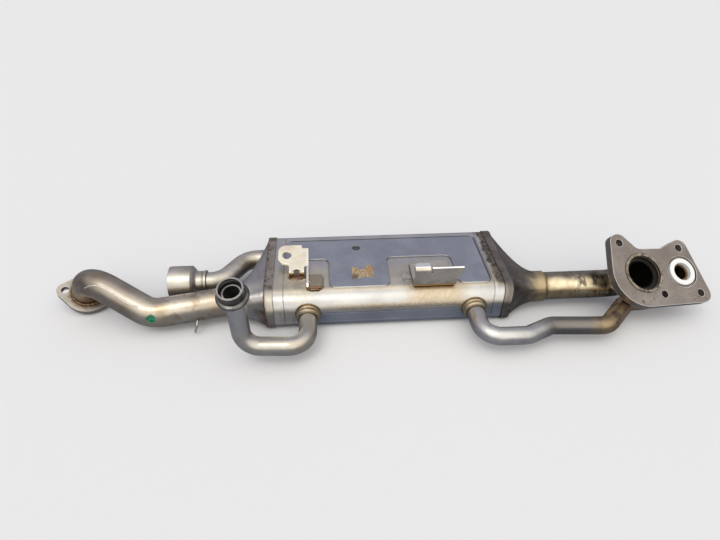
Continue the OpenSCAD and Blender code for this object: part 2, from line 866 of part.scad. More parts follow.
// Coolant tubes
coolant_in_at = [end_x - coolant_in_x, front_y + casing_t, port_z];
coolant_out_at = [-end_x + coolant_out_x, front_y + casing_t, port_z];
coolant_port = inlet_face + port_gap * (
    cos(flange_spin) * [cos(flange_turn), sin(flange_turn), 0]
    + sin(flange_spin) * cos(flange_tilt) * [-sin(flange_turn), cos(flange_turn), tan(flange_tilt)]);
coolant_in_path = [
    coolant_in_at,
    [coolant_in_at[0], front_y - coolant_reach, port_z],
    [end_x + 12, front_y - coolant_reach + 1.5, port_z - 2],
    [end_x + 42, front_y - coolant_reach + 15, port_z - 2],
    [inlet_corner[0] - 48, front_y - coolant_reach + 10, port_z - 1],
    [inlet_corner[0] - 11, front_y - 4, port_z],
    [inlet_corner[0] + 18, front_y, port_z - 2],
    coolant_port - inlet_tube_drop * inlet_normal,
    coolant_port - (recess_depth + 1) * inlet_normal];
riser_x = coolant_out_at[0] - outlet_tube_run;
riser_y = front_y - coolant_reach + 2;
coolant_out_path = [
    coolant_out_at,
    [coolant_out_at[0], front_y - coolant_reach - 2, port_z],
    [riser_x, riser_y, port_z],
    [riser_x - 4, riser_y + riser_lean, port_z + riser_h],
    [riser_x - 4.7, riser_y + riser_lean - 4.5, port_z + riser_h + hose_end_h]];

module coolant_inlet_tube() {
    color("#b9b9b6")
        bent_tube(coolant_in_path, coolant_clr, coolant_od, coolant_t);
}

module coolant_outlet_tube() {
    color("#b9b5ac")
        bent_tube(coolant_out_path, coolant_clr, coolant_od, coolant_t);
}

module collar() {
    r = coolant_od / 2 + pipe_fit;
    rotate([90, 0, 0])
        rotate_extrude()
            polygon([
                [r, 0], [collar_d / 2, 0], [collar_d / 2, 2], [collar_d / 2 - 1.3, 3.2],
                [collar_d / 2 - 1.3, 0.45 * collar_l], [collar_d / 2 - 0.5, 0.6 * collar_l],
                [collar_d / 2 - 0.5, 0.75 * collar_l], [collar_d / 2 - 1.7, 0.85 * collar_l],
                [collar_d / 2 - 1.7, collar_l], [r, collar_l]]);
}

module coolant_inlet_collar() {
    color("#a89a7c")
        translate([coolant_in_at[0], front_y, port_z])
            collar();
}

module coolant_outlet_collar() {
    color("#a89a7c")
        translate([coolant_out_at[0], front_y, port_z])
            collar();
}

module hose_nipple() {
    last = len(coolant_out_path) - 1;
    along = unit(leg(coolant_out_path, last - 1));
    r = coolant_od / 2 + pipe_fit;
    color("#77736d")
        aim(coolant_out_path[last] - nipple_seat * along, along)
            rotate_extrude()
                polygon([
                    [r, 0], [r + 1.5, 0], [bead_d / 2 - 1, 1], [bead_d / 2, 2], [bead_d / 2, bead_l - 1],
                    [bead_d / 2 - 1, bead_l], [nipple_od / 2, bead_l + 0.8], [nipple_od / 2, nipple_l - 0.6],
                    [nipple_od / 2 - 0.6, nipple_l], [nipple_id / 2, nipple_l],
                    [nipple_id / 2, nipple_seat - 2], [r, nipple_seat - 2]]);
}

// Eye bracket: a sloping plate with an eye, on a front leg and a side wall with a foot
eye_x = -end_x + eye_in_x;
eye_y = front_y + eye_in_y;

module eye_bracket() {
    slope_z = top_z + eye_rise;
    p = [
        [-8.7, 0], [0, 4.5], [8.6, 0], [8.6, 7.5], [11.5, 9], [11.5, 35.5], [6, 35.5], [6, 40.5],
        [-21.5, 40.5], [-21.5, 15], [-8.7, 11]];
    color("#b7a98a")
        union() {
            translate([eye_x, eye_y, slope_z])
                rotate([eye_slope, 0, 0])
                    translate([0, 0, -bracket_t])
                        linear_extrude(bracket_t)
                            difference() {
                                plate_outline(p, [0.8, 1, 0.8, 1, 1, 1, 1, 1, 9, 9, 4]);
                                translate([-11.4, 25.2])
                                    circle(d = eye_d);
                            }
            translate([eye_x - 8.7, eye_y, top_z])
                cube([5.5, bracket_t, eye_rise - 0.3]);
            translate([eye_x + 3.1, eye_y, top_z])
                cube([5.5, bracket_t, eye_rise - 0.3]);
            translate([eye_x + 11.2, eye_y, top_z])
                rotate([90, 0, 90])
                    linear_extrude(bracket_t)
                        polygon([
                            [-eye_foot_d, 0], [2, 0], [8, 4], [34.4, eye_rise + 5],
                            [34.4, eye_rise + 34.4 * tan(eye_slope) - 0.1],
                            [8.8, eye_rise + 8.8 * tan(eye_slope) - 0.1],
                            [4 - eye_foot_d, bracket_t + dart_h], [-eye_foot_d, 1.6 * bracket_t]]);
            translate([eye_x + eye_foot_x, eye_y - eye_foot_d, top_z])
                linear_extrude(bracket_t)
                    rounded_outline(
                        [[0, 0], [eye_foot_w, 0], [eye_foot_w, eye_foot_d], [0, eye_foot_d]], [1, 4, 4, 1]);
            translate([eye_x + eye_foot_x + bracket_t / 2, eye_y - 0.6 * eye_foot_d, top_z + bracket_t / 2])
                rotate([90, 0, 0])
                    linear_extrude(bracket_t)
                        polygon([[0, 0], [dart_h + bracket_t / 2, 0], [0, dart_h + bracket_t / 2]]);
        }
}

// Stay bracket: a foot on the casing with an upright front wall, whose corner is bent back as a tab
stay_x = notch_x - stay_gap - stay_w;
stay_y = front_y + stay_in;

module stay_profile(top) {
    t = bracket_t;
    r = stay_r;
    rounded_outline(
        concat(
            [[0, 0], [stay_d, 0], [stay_d, t], [t, t]],
            top == "tab"
                ? [[t, stay_h - t], [tab_d, stay_h - t], [tab_d, stay_h], [0, stay_h]]
                : [[t, stay_h], [0, stay_h]]),
        concat([r + t, 0.3, 0.3, r], top == "tab" ? [r, 0.3, 0.3, r + t] : [0.3, 0.3]));
}

module corner_cut(y, r) {
    translate([0, y])
        difference() {
            translate([-cut, -r])
                square(r + cut);
            translate([r - corner_bite, corner_bite - r])
                circle(r);
        }
}

module at_stay() {
    translate([stay_x, stay_y, top_z])
        children();
}

module stay_bracket() {
    wall_w = stay_w + stay_flare;
    color("#a7a294")
        difference() {
            at_stay() union() {
                along_x(0, tab_w)
                    stay_profile("tab");
                along_x(tab_w, wall_w - tab_w)
                    stay_profile("edge");
            }
            at_stay() translate([tab_w, -cut, stay_h - slot_h])
                cube([slot_w, bracket_t + 2 * cut, slot_h + cut]);
            at_stay() translate([0, 0, -cut])
                linear_extrude(bracket_t + 2 * cut)
                    corner_cut(stay_d, foot_r);
            at_stay() translate([0, 0, stay_h - bracket_t - cut])
                linear_extrude(bracket_t + 2 * cut)
                    corner_cut(tab_d, tab_r);
            at_stay() translate([0, stay_d + cut, 0])
                rotate([90, 0, 0])
                    linear_extrude(stay_d + 2 * cut)
                        polygon([
                            [stay_w, -cut], [wall_w + cut, -cut], [wall_w + cut, stay_h], [wall_w, stay_h],
                            [stay_w, bracket_t]]);
        }
}

upper_shell();
lower_shell();
inlet_header();
outlet_header();
gas_tube_1();
gas_tube_2();
gas_tube_3();
gas_tube_4();
gas_tube_5();
gas_fin_1();
gas_fin_2();
gas_fin_3();
gas_fin_4();
gas_fin_5();
inlet_cone();
outlet_cone();
inlet_pipe();
inlet_flange();
gas_seat_ring();
coolant_seal();
outlet_pipe();
outlet_flange();
locating_hook();
branch_pipe();
branch_socket();
coolant_inlet_tube();
coolant_inlet_collar();
coolant_outlet_tube();
coolant_outlet_collar();
hose_nipple();
eye_bracket();
stay_bracket();
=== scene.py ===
import math

import bmesh
import bpy
from mathutils import Matrix, Vector, noise
from mathutils.bvhtree import BVHTree


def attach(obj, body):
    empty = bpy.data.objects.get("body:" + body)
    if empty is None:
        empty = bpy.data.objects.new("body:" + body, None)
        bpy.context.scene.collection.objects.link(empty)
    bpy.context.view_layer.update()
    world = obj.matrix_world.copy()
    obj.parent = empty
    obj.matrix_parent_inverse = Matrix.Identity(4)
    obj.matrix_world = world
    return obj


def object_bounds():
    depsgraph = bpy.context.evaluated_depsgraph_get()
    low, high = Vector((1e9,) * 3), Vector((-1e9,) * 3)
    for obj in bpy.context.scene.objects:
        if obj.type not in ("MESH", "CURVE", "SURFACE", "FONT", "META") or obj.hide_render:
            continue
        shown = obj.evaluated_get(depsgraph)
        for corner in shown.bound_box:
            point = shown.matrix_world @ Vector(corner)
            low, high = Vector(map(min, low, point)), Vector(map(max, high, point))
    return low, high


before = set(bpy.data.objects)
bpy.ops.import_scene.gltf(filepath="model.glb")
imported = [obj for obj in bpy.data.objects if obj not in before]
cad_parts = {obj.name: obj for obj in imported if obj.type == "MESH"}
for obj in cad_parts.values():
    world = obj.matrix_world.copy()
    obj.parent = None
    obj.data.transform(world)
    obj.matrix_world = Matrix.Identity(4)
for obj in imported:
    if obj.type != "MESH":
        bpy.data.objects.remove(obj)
cad_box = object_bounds()

# Sizes and places are in millimetres, in the frame of the CAD part
MM = 0.001
X_AXIS = Vector((1, 0, 0))
Y_AXIS = Vector((0, 1, 0))
Z_AXIS = Vector((0, 0, 1))
CASING_W = 120.0
CASING_H = 49.8
BASE_Z = 1.5
TOP_Z = BASE_Z + CASING_H
TOP_R = 12.0
BOTTOM_R = 8.0
END_X = 134.0
RIM_LAP = 3.0
RIM_X = 140.0
FRONT_Y = -CASING_W / 2
PANEL_Z = TOP_Z + 1.5
PANEL_RIGHT_X = END_X - 17.0
PANEL_BACK_Y = -FRONT_Y - 18.0
PIPE_R = 16.5
BRANCH_R = 11.5
TUBE_R = 10.0
COLLAR_R = 13.7
GAS_PORT_R = 20.0
FLANGE_T = 10.0
NECK_Z = BASE_Z + 24.0
PORT_Z = BASE_Z + 22.0
INLET_NECK = Vector((RIM_X + 46.0, -30.0, NECK_Z))
OUTLET_NECK = Vector((-RIM_X - 40.0, -36.0, NECK_Z))
BRANCH_START = Vector((-RIM_X - 45.0, 44.0, NECK_Z))
SOCKET_X = -RIM_X - 73.0
COOLANT_IN = Vector((END_X - 37.0, FRONT_Y, PORT_Z))
COOLANT_OUT = Vector((-END_X + 41.5, FRONT_Y, PORT_Z))
EYE = Vector((-104.0, -28.0, TOP_Z))
STAY = Vector((27.0, -55.5, TOP_Z))
STAY_H = 26.0
LEFT_END_X = -100.0
NIPPLE_AXIS = Vector((-0.7, -4.5, 14.0)).normalized()
DIMPLE = Vector((-33.0, 23.0, PANEL_Z))
SPECKS = Vector((-52.0, -27.0, PANEL_Z))

# Shading of the casing's shoulder, broader than the solids' rounding: heights above the underside, and push
SHOULDER_LOW = 19.0
SHOULDER_HIGH = 36.0
SHOULDER_LEAN = 0.7

# Camera, as the photograph was taken
PHOTO_W = 720
PHOTO_H = 540
FOCAL_PX = 528.23
SENSOR_MM = 36.0
CLIP_START_M = 0.01
CAMERA_AT = Vector((-70.75, -504.48, BASE_Z + 423.96))
PITCH = math.radians(37.56)
YAW = math.radians(4.66)
ROLL = math.radians(-0.78)


def camera_axes():
    """Right, down and forward of the photograph's view."""
    forward = Vector((math.sin(YAW) * math.cos(PITCH), math.cos(YAW) * math.cos(PITCH), -math.sin(PITCH)))
    right = Vector((math.cos(YAW), -math.sin(YAW), 0))
    down = forward.cross(right)
    turned_right = math.cos(ROLL) * right + math.sin(ROLL) * down
    turned_down = -math.sin(ROLL) * right + math.cos(ROLL) * down
    return turned_right, turned_down, forward


def make_camera():
    data = bpy.data.cameras.new("camera")
    data.sensor_fit = "HORIZONTAL"
    data.sensor_width = SENSOR_MM
    data.lens = FOCAL_PX * SENSOR_MM / PHOTO_W
    data.clip_start = CLIP_START_M
    camera = bpy.data.objects.new("camera", data)
    right, down, forward = camera_axes()
    turn = Matrix((right, -down, -forward)).transposed()
    camera.matrix_world = Matrix.Translation(CAMERA_AT * MM) @ turn.to_4x4()
    bpy.context.scene.collection.objects.link(camera)
    bpy.context.scene.camera = camera


make_camera()


# Places found along the photograph's lines of sight
def sight_line(px):
    """Direction from the camera through the photograph's pixel."""
    right, down, forward = camera_axes()
    across = (px[0] - PHOTO_W / 2) / FOCAL_PX
    below = (px[1] - PHOTO_H / 2) / FOCAL_PX
    return forward + right * across + down * below


def node_tree(name):
    """A CAD node's surface, to seat pieces on it."""
    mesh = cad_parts[name].data
    return BVHTree.FromPolygons([v.co for v in mesh.vertices], [p.vertices for p in mesh.polygons])


def seen_on(tree, px):
    """Point, in millimetres, where the photograph's pixel meets a surface."""
    at, _, _, _ = tree.ray_cast(CAMERA_AT * MM, sight_line(px).normalized())
    return at / MM


def on_panel(px):
    """Point of the pressed panel's plane at the photograph's pixel."""
    line = sight_line(px)
    return CAMERA_AT + line * ((PANEL_Z - CAMERA_AT.z) / line.z)


outlet_pipe_tree = node_tree("outlet_pipe")
PAINT_DAB_PX = (150.3, 319.2)
RESIDUE_LOBE_PX = (370.5, 269.5)
RESIDUE_DARK_PX = (354.5, 277)


# Flange faces
def flange_axes(tilt, turn, spin):
    """Axes of a flange face: first two in the face, third the normal."""
    t, a, s = (math.radians(v) for v in (tilt, turn, spin))
    normal = Vector((math.sin(t) * math.sin(a), -math.sin(t) * math.cos(a), math.cos(t)))
    x = Vector((math.cos(a), math.sin(a), 0))
    y = normal.cross(x)
    return math.cos(s) * x + math.sin(s) * y, math.cos(s) * y - math.sin(s) * x, normal


INLET_PIPE_L = 100.8
INLET_RISE = 40.5
PORT_SPACING = 50.4
OUTLET_DROP = 40.0
OUTLET_CORNER = Vector((-END_X - 210.5, -15.0, NECK_Z + 29.8))
INLET_X, INLET_Y, INLET_N = flange_axes(tilt=35.6, turn=13.2, spin=-9)
INLET_FACE = INLET_NECK + INLET_PIPE_L * X_AXIS + INLET_RISE * INLET_N
COOLANT_PORT = INLET_FACE + PORT_SPACING * INLET_X
_, _, OUTLET_N = flange_axes(tilt=24, turn=29, spin=-28.5)
OUTLET_FACE = OUTLET_CORNER - OUTLET_DROP * OUTLET_N

# Masks: the usual range of noise, painted shade in corners and painted highlights along edges
NOISE_LOW = 0.3
NOISE_HIGH = 0.7
CORNER_SAMPLES = 8
CORNER_OPEN = 0.95
CORNER_SHUT = 0.45
EDGE_SAMPLES = 6
EDGE_FLAT = 0.995
EDGE_SHARP = 0.93
# Strength of the painted highlight along edges
EDGE_HIGHLIGHT = 0.9


class Nodes:
    """Short names for the nodes of one tree."""

    def __init__(self, tree):
        self.nodes = tree.nodes
        self.links = tree.links

    def plug(self, value, socket):
        if isinstance(value, bpy.types.NodeSocket):
            self.links.new(value, socket)
        else:
            socket.default_value = value

    def parts(self, vector):
        node = self.nodes.new("ShaderNodeSeparateXYZ")
        self.links.new(vector, node.inputs[0])
        return node.outputs

    def math(self, operation, a, b=0.0):
        node = self.nodes.new("ShaderNodeMath")
        node.operation = operation
        self.plug(a, node.inputs[0])
        self.plug(b, node.inputs[1])
        return node.outputs[0]

    def times(self, *values):
        total = values[0]
        for value in values[1:]:
            total = self.math("MULTIPLY", total, value)
        return total

    def rest_of(self, amount):
        """What is left of 1."""
        return self.math("SUBTRACT", 1.0, amount)

    def rise(self, value, low, high):
        """0 below low, 1 above high, smooth between; falls where low is above high."""
        node = self.nodes.new("ShaderNodeMapRange")
        node.interpolation_type = "SMOOTHSTEP"
        self.plug(value, node.inputs["Value"])
        falls = low > high
        node.inputs["From Min"].default_value = min(low, high)
        node.inputs["From Max"].default_value = max(low, high)
        node.inputs["To Min"].default_value = 1.0 if falls else 0.0
        node.inputs["To Max"].default_value = 0.0 if falls else 1.0
        return node.outputs["Result"]

    def tint(self, colour, amount, other):
        """The first colour where the amount is 0, the other where it is 1."""
        node = self.nodes.new("ShaderNodeMix")
        node.data_type = "RGBA"
        self.plug(amount, node.inputs["Factor"])
        for value, socket in ((colour, node.inputs["A"]), (other, node.inputs["B"])):
            self.plug(value if isinstance(value, bpy.types.NodeSocket) else (*value, 1), socket)
        return node.outputs["Result"]


class Surface(Nodes):
    """A material laid out in the part's own millimetres, with z from the casing's underside."""

    def __init__(self, name, metallic=1.0):
        self.material = bpy.data.materials.new(name)
        self.material.use_nodes = True
        super().__init__(self.material.node_tree)
        self.shader = self.nodes["Principled BSDF"]
        self.shader.inputs["Metallic"].default_value = metallic
        metres = self.nodes.new("ShaderNodeTexCoord").outputs["Object"]
        self.place = self.vector("SCALE", metres, scale=1 / MM)
        self.x, self.y, height = self.parts(self.place)
        self.z = self.math("SUBTRACT", height, BASE_Z)

    def vector(self, operation, a, b=None, scale=None):
        node = self.nodes.new("ShaderNodeVectorMath")
        node.operation = operation
        self.plug(a, node.inputs[0])
        if b is not None:
            self.plug(b, node.inputs[1])
        if scale is not None:
            node.inputs["Scale"].default_value = scale
        return node.outputs["Value" if operation in ("DISTANCE", "LENGTH", "DOT_PRODUCT") else "Vector"]

    def noise(self, size, detail=3.0, stretch=None, rough=0.55):
        """Cloudy values around 0.5, with features of about this size in millimetres."""
        node = self.nodes.new("ShaderNodeTexNoise")
        node.inputs["Scale"].default_value = 1.0 / size
        node.inputs["Detail"].default_value = detail
        node.inputs["Roughness"].default_value = rough
        at = self.place
        if stretch is not None:
            at = self.vector("MULTIPLY", at, stretch)
        self.links.new(at, node.inputs["Vector"])
        return node.outputs["Fac"]

    def patches(self, size, detail, low, high, **kind):
        """1 in cloudy patches, where the noise is above high."""
        return self.rise(self.noise(size, detail, **kind), low, high)

    def frayed(self, value, size, detail, reach):
        """The value with noise of this reach added, for a ragged border."""
        return self.math("ADD", value, self.times(self.noise(size, detail), reach))

    def between(self, value, low, high, soft):
        """1 between low and high."""
        up = self.rise(value, low - soft, low + soft)
        down = self.rise(value, high + soft, high - soft)
        return self.times(up, down)

    def ball(self, centre, radius, soft, ragged=0.0, grain=6.0):
        """1 inside a ball, with a ragged edge."""
        distance = self.vector("DISTANCE", self.place, tuple(centre))
        if ragged:
            wobble = self.math("SUBTRACT", self.noise(grain), 0.5)
            distance = self.math("ADD", distance, self.times(wobble, ragged * 2))
        return self.rise(distance, radius + soft, radius - soft)

    def along(self, axis, centre=None):
        """Distance along an axis, from a centre or from the part's origin."""
        offset = self.place if centre is None else self.vector("SUBTRACT", self.place, tuple(centre))
        return self.vector("DOT_PRODUCT", offset, tuple(axis))

    def radial(self, centre, axis):
        """Distance from an axis and height along it."""
        offset = self.vector("SUBTRACT", self.place, tuple(centre))
        height = self.vector("DOT_PRODUCT", offset, tuple(axis))
        length = self.vector("LENGTH", offset)
        square = self.math("SUBTRACT", self.times(length, length), self.times(height, height))
        return self.math("SQRT", self.math("MAXIMUM", square, 0.0)), height

    def shade(self, colour, amount, by):
        """The colour multiplied by another one."""
        result = self.tint(colour, amount, by)
        result.node.blend_type = "MULTIPLY"
        return result

    def corners(self, reach):
        """1 in tight corners, where shade falls: the mask of the painted corner shade."""
        node = self.nodes.new("ShaderNodeAmbientOcclusion")
        node.samples = CORNER_SAMPLES
        node.inputs["Distance"].default_value = reach * MM
        return self.rise(node.outputs["AO"], CORNER_OPEN, CORNER_SHUT)

    def rounded_normal(self, radius):
        """The normal as it would be with rounded edges."""
        node = self.nodes.new("ShaderNodeBevel")
        node.samples = EDGE_SAMPLES
        node.inputs["Radius"].default_value = radius * MM
        return node.outputs["Normal"]

    def edges(self, reach):
        """Near 1 along sharp edges: the mask of the painted edge highlights."""
        plain_normal = self.nodes.new("ShaderNodeNewGeometry").outputs["Normal"]
        alike = self.vector("DOT_PRODUCT", self.rounded_normal(reach), plain_normal)
        return self.times(self.rise(alike, EDGE_FLAT, EDGE_SHARP), EDGE_HIGHLIGHT)

    def lean(self, amount, axis):
        """A push on the shading normal along an axis."""
        push = self.nodes.new("ShaderNodeCombineXYZ")
        self.links.new(amount, push.inputs[axis])
        return push.outputs[0]

    def shoulder(self):
        """The upward push below the casing's top edges."""
        return self.lean(self.times(self.rise(self.z, SHOULDER_LOW, SHOULDER_HIGH), SHOULDER_LEAN), "Z")

    def roughness(self, low, high, size=14.0):
        """Roughness that drifts between two values."""
        node = self.nodes.new("ShaderNodeMapRange")
        self.links.new(self.noise(size, 5), node.inputs["Value"])
        node.inputs["From Min"].default_value = NOISE_LOW
        node.inputs["From Max"].default_value = NOISE_HIGH
        node.inputs["To Min"].default_value = low
        node.inputs["To Max"].default_value = high
        return node.outputs["Result"]

    def finish(self, colour, roughness, height, depth, metallic=None, edge=0.6, push=None):
        """The material, with a bump of this depth over normals rounded by edge and pushed."""
        self.plug(colour, self.shader.inputs["Base Color"])
        self.plug(roughness, self.shader.inputs["Roughness"])
        if metallic is not None:
            self.plug(metallic, self.shader.inputs["Metallic"])
        bump = self.nodes.new("ShaderNodeBump")
        bump.inputs["Strength"].default_value = 1.0
        bump.inputs["Distance"].default_value = depth * MM
        self.links.new(height, bump.inputs["Height"])
        self.links.new(self.rounded_normal(edge), bump.inputs["Normal"])
        normal = bump.outputs["Normal"]
        if push is not None:
            normal = self.vector("NORMALIZE", self.vector("ADD", normal, push))
        self.links.new(normal, self.shader.inputs["Normal"])
        return self.material


# Materials
RUST = (0.165, 0.072, 0.033)
SOOT = (0.012, 0.011, 0.010)
# Colour of the painted shade in corners
CORNER_SHADE = (0.05, 0.043, 0.038)
SPECK_DARK = (0.05, 0.045, 0.04)


def sheet_steel(s, low, high, patch=35.0, grain=1.2, darkening=0.8):
    """Satin sheet: cloudy patches, fine speckle, and painted shade in the corners. Gives colour and height.
    """
    colour = s.tint(low, s.patches(patch, 4, NOISE_LOW, NOISE_HIGH), high)
    speck = s.patches(grain * 2.5, 2, 0.62, 0.78)
    colour = s.tint(colour, s.times(speck, 0.45), [c * 0.45 for c in low])
    # Painted shade: darker where ambient occlusion finds corners, grooves and holes
    painted_corner_shade = s.times(s.corners(2.5), darkening)
    colour = s.tint(colour, painted_corner_shade, CORNER_SHADE)
    return colour, s.noise(grain, 3)


def casing_stains(s, colour):
    """Straw and brown stains round the brackets and along the front edge, and a painted warm highlight
    round the eye bracket.
    """
    spotty = s.patches(6, 6, 0.42, 0.60, rough=0.65)
    eye = s.ball(EYE + Vector((2, -12, 0)), radius=18, soft=12, ragged=8)
    # Painted warm highlight round the eye bracket; the spotty straw over it is stain
    colour = s.tint(colour, s.times(eye, 0.6), (0.72, 0.65, 0.49))
    colour = s.tint(colour, s.times(eye, spotty, 0.6), (0.50, 0.42, 0.27))
    front = s.rise(s.y, FRONT_Y + 16, FRONT_Y + 8)
    stay = s.times(s.between(s.x, STAY.x - 5, STAY.x + 57, 12), s.between(s.z, 32, 50.5, 4), front)
    colour = s.tint(colour, s.times(stay, 0.6), (0.53, 0.42, 0.25))
    colour = s.tint(colour, s.times(stay, spotty, 0.3), (0.42, 0.28, 0.12))
    stay_dirt = s.ball(STAY + Vector((-2, 18, 0)), radius=12, soft=8, ragged=6)
    colour = s.tint(colour, s.times(stay_dirt, spotty, 0.75), (0.14, 0.12, 0.09))
    fine = s.patches(2.2, 6, 0.40, 0.64, rough=0.7)
    middle = s.between(s.x, LEFT_END_X + 30, PANEL_RIGHT_X - 5, 30)
    wall = s.times(s.rise(s.y, FRONT_Y + 5, FRONT_Y + 2), middle)
    below = s.times(s.between(s.z, 24, 33, 4), wall)
    colour = s.tint(colour, s.times(below, 0.55), (0.46, 0.36, 0.22))
    return s.tint(colour, s.times(below, fine, 0.6), (0.27, 0.18, 0.09))


def casing_scorch(s):
    """The burnt band at the hot end, clear of the front wall."""
    ragged = s.math("ADD", s.times(s.noise(9, 3), 12), s.times(s.noise(2.5, 3), 5))
    burnt = s.rise(s.math("ADD", s.x, ragged), END_X - 5.5, END_X - 1)
    return s.times(burnt, s.rise(s.y, FRONT_Y, FRONT_Y + 12))


def panel_marks(s, colour, panel):
    """The pressed panel's far edges in painted shade, a scatter of specks, and the dimple."""
    # Painted shade along the panel's back and right edges, where its shoulder faces away
    back = s.rise(s.y, PANEL_BACK_Y - 2.2, PANEL_BACK_Y - 1.2)
    right = s.rise(s.x, PANEL_RIGHT_X - 2.6, PANEL_RIGHT_X - 1.6)
    colour = s.tint(colour, s.times(panel, s.math("MAXIMUM", back, right), 0.85), (0.09, 0.083, 0.078))
    specks = s.times(s.ball(SPECKS, radius=16, soft=10), s.patches(1.7, 2, 0.64, 0.69), panel)
    colour = s.tint(colour, s.times(specks, 0.85), SPECK_DARK)
    pit = s.ball(DIMPLE, radius=5.0, soft=0.5)
    return s.tint(colour, s.times(pit, 0.9), (0.11, 0.11, 0.10))


def casing_steel():
    s = Surface("casing_steel")
    colour, height = sheet_steel(s, (0.50, 0.49, 0.48), (0.62, 0.61, 0.59))
    panel = s.rise(s.z, CASING_H + 0.5, CASING_H + 1.2)
    # Painted reflection: the pressed panel darker and bluish, like a blue sky mirrored in it
    colour = s.shade(colour, panel, (0.76, 0.80, 0.90))
    left_end = s.rise(s.x, LEFT_END_X + 8, LEFT_END_X - 8)
    # Painted reflection: the walls below the shoulder darker and bluish, like a blue floor mirrored in
    # them, except at the left end
    wall = s.times(s.rise(s.z, SHOULDER_LOW + 8, SHOULDER_LOW), s.rest_of(left_end))
    colour = s.shade(colour, wall, (0.70, 0.77, 0.90))
    lower = s.times(left_end, s.between(s.z, 4, 24, 6))
    streaks = s.patches(7, 4, 0.46, 0.62, stretch=(1.6, 1, 0.3))
    colour = s.tint(colour, s.times(lower, streaks, 0.55), (0.30, 0.285, 0.27))
    # Painted warm light: the flat top's ledge in the front half lighter and warmer
    front_half = s.rise(s.y, FRONT_Y + 56, FRONT_Y + 38)
    ledge = s.times(s.between(s.z, CASING_H - 2, CASING_H + 0.4, 0.8), front_half)
    colour = s.shade(colour, ledge, (1.16, 1.07, 0.90))
    colour = casing_stains(s, colour)
    scorched = casing_scorch(s)
    blotch = s.tint((0.045, 0.033, 0.027), s.patches(5, 5, 0.42, 0.62), (0.19, 0.15, 0.12))
    colour = s.tint(colour, s.times(scorched, 0.88), blotch)
    colour = panel_marks(s, colour, panel)
    rough = s.math("ADD", s.roughness(0.30, 0.42), s.times(scorched, 0.25))
    near_front = s.rise(s.y, FRONT_Y + 44, FRONT_Y + 14)
    ledge_push = s.lean(s.times(ledge, near_front, -0.16), "Y")
    push = s.vector("ADD", s.shoulder(), ledge_push)
    push = s.vector("ADD", push, s.lean(s.times(lower, 0.36), "Z"))
    return s.finish(colour, rough, height, depth=0.025, push=push)


def inlet_header_steel():
    s = Surface("inlet_header_steel")
    colour, height = sheet_steel(s, (0.15, 0.13, 0.115), (0.26, 0.235, 0.21), 22)
    streak = s.patches(7, 5, 0.55, 0.72)
    colour = s.tint(colour, s.times(streak, 0.7), (0.05, 0.037, 0.03))
    # Painted highlight: a lighter patch on the upper front of the header
    front = s.rise(s.y, FRONT_Y + 10, FRONT_Y + 2)
    front_highlight = s.times(front, s.rise(s.z, 20, 44), s.rise(s.x, RIM_X - 3, RIM_X - 8))
    colour = s.tint(colour, s.times(front_highlight, 0.6), (0.34, 0.31, 0.28))
    return s.finish(colour, s.roughness(0.36, 0.55), height, depth=0.03, push=s.shoulder())


def outlet_header_steel():
    s = Surface("outlet_header_steel")
    colour, height = sheet_steel(s, (0.30, 0.26, 0.225), (0.42, 0.385, 0.35), 18)
    brown = s.patches(10, 5, 0.48, 0.66)
    colour = s.tint(colour, s.times(brown, 0.75), (0.165, 0.12, 0.09))
    rusty = s.times(s.rise(s.x, -RIM_X + 3.5, -RIM_X), s.patches(5, 5, 0.40, 0.58))
    colour = s.tint(colour, s.times(rusty, 0.9), RUST)
    # Painted highlight: the front of the header near the rim lighter, down most of its height
    front = s.rise(s.y, FRONT_Y + 12, FRONT_Y + 6)
    painted_highlight = s.times(front, s.rise(s.z, 4, 26), s.rise(s.x, -RIM_X, -RIM_X + 2.5))
    colour = s.tint(colour, s.times(painted_highlight, 0.75), (0.60, 0.56, 0.48))
    return s.finish(colour, s.roughness(0.36, 0.58), height, depth=0.03, push=s.shoulder())


def inlet_cone_steel():
    s = Surface("inlet_cone_steel")
    colour, height = sheet_steel(s, (0.12, 0.105, 0.09), (0.21, 0.185, 0.155), 26)
    neck = s.rise(s.frayed(s.x, 9, 3, 8), INLET_NECK.x - 12, INLET_NECK.x - 2)
    colour = s.tint(colour, s.times(neck, 0.9), (0.47, 0.37, 0.22))
    pale = s.times(s.patches(12, 5, 0.54, 0.68), 0.5)
    colour = s.tint(colour, pale, (0.30, 0.25, 0.19))
    slope = s.rise(s.x, INLET_NECK.x - 28, INLET_NECK.x - 12)
    front = s.rise(s.y, INLET_NECK.y + 2, INLET_NECK.y - 8)
    golden = s.times(slope, front, s.patches(8, 4, 0.40, 0.58), 0.7)
    colour = s.tint(colour, golden, (0.42, 0.33, 0.20))
    return s.finish(colour, s.roughness(0.34, 0.52), height, depth=0.04, edge=3.0)


def outlet_cone_steel():
    s = Surface("outlet_cone_steel")
    colour, height = sheet_steel(s, (0.45, 0.43, 0.42), (0.58, 0.55, 0.51), 26)
    # Painted shade: the cone's back half darker and bluish, while the front stays bright
    back = s.rise(s.y, OUTLET_NECK.y - 4, OUTLET_NECK.y + 12)
    colour = s.shade(colour, back, (0.70, 0.71, 0.76))
    near_rim = s.rise(s.frayed(s.x, 12, 4, 26), -RIM_X - 1, -RIM_X + 13)
    low = s.rise(s.frayed(s.z, 9, 3, 12), 40, 30)
    colour = s.tint(colour, s.times(near_rim, low, 0.85), (0.20, 0.125, 0.075))
    colour = s.tint(colour, s.times(near_rim, s.patches(6, 5, 0.5, 0.64), 0.5), (0.24, 0.17, 0.11))
    wide_end = s.rise(s.x, -RIM_X - 28, -RIM_X - 10)
    bulge = s.times(wide_end, s.rise(s.y, OUTLET_NECK.y + 26, OUTLET_NECK.y + 6), 0.5)
    push = s.lean(bulge, "X")
    return s.finish(colour, s.roughness(0.32, 0.46), height, depth=0.03, edge=3.0, push=push)


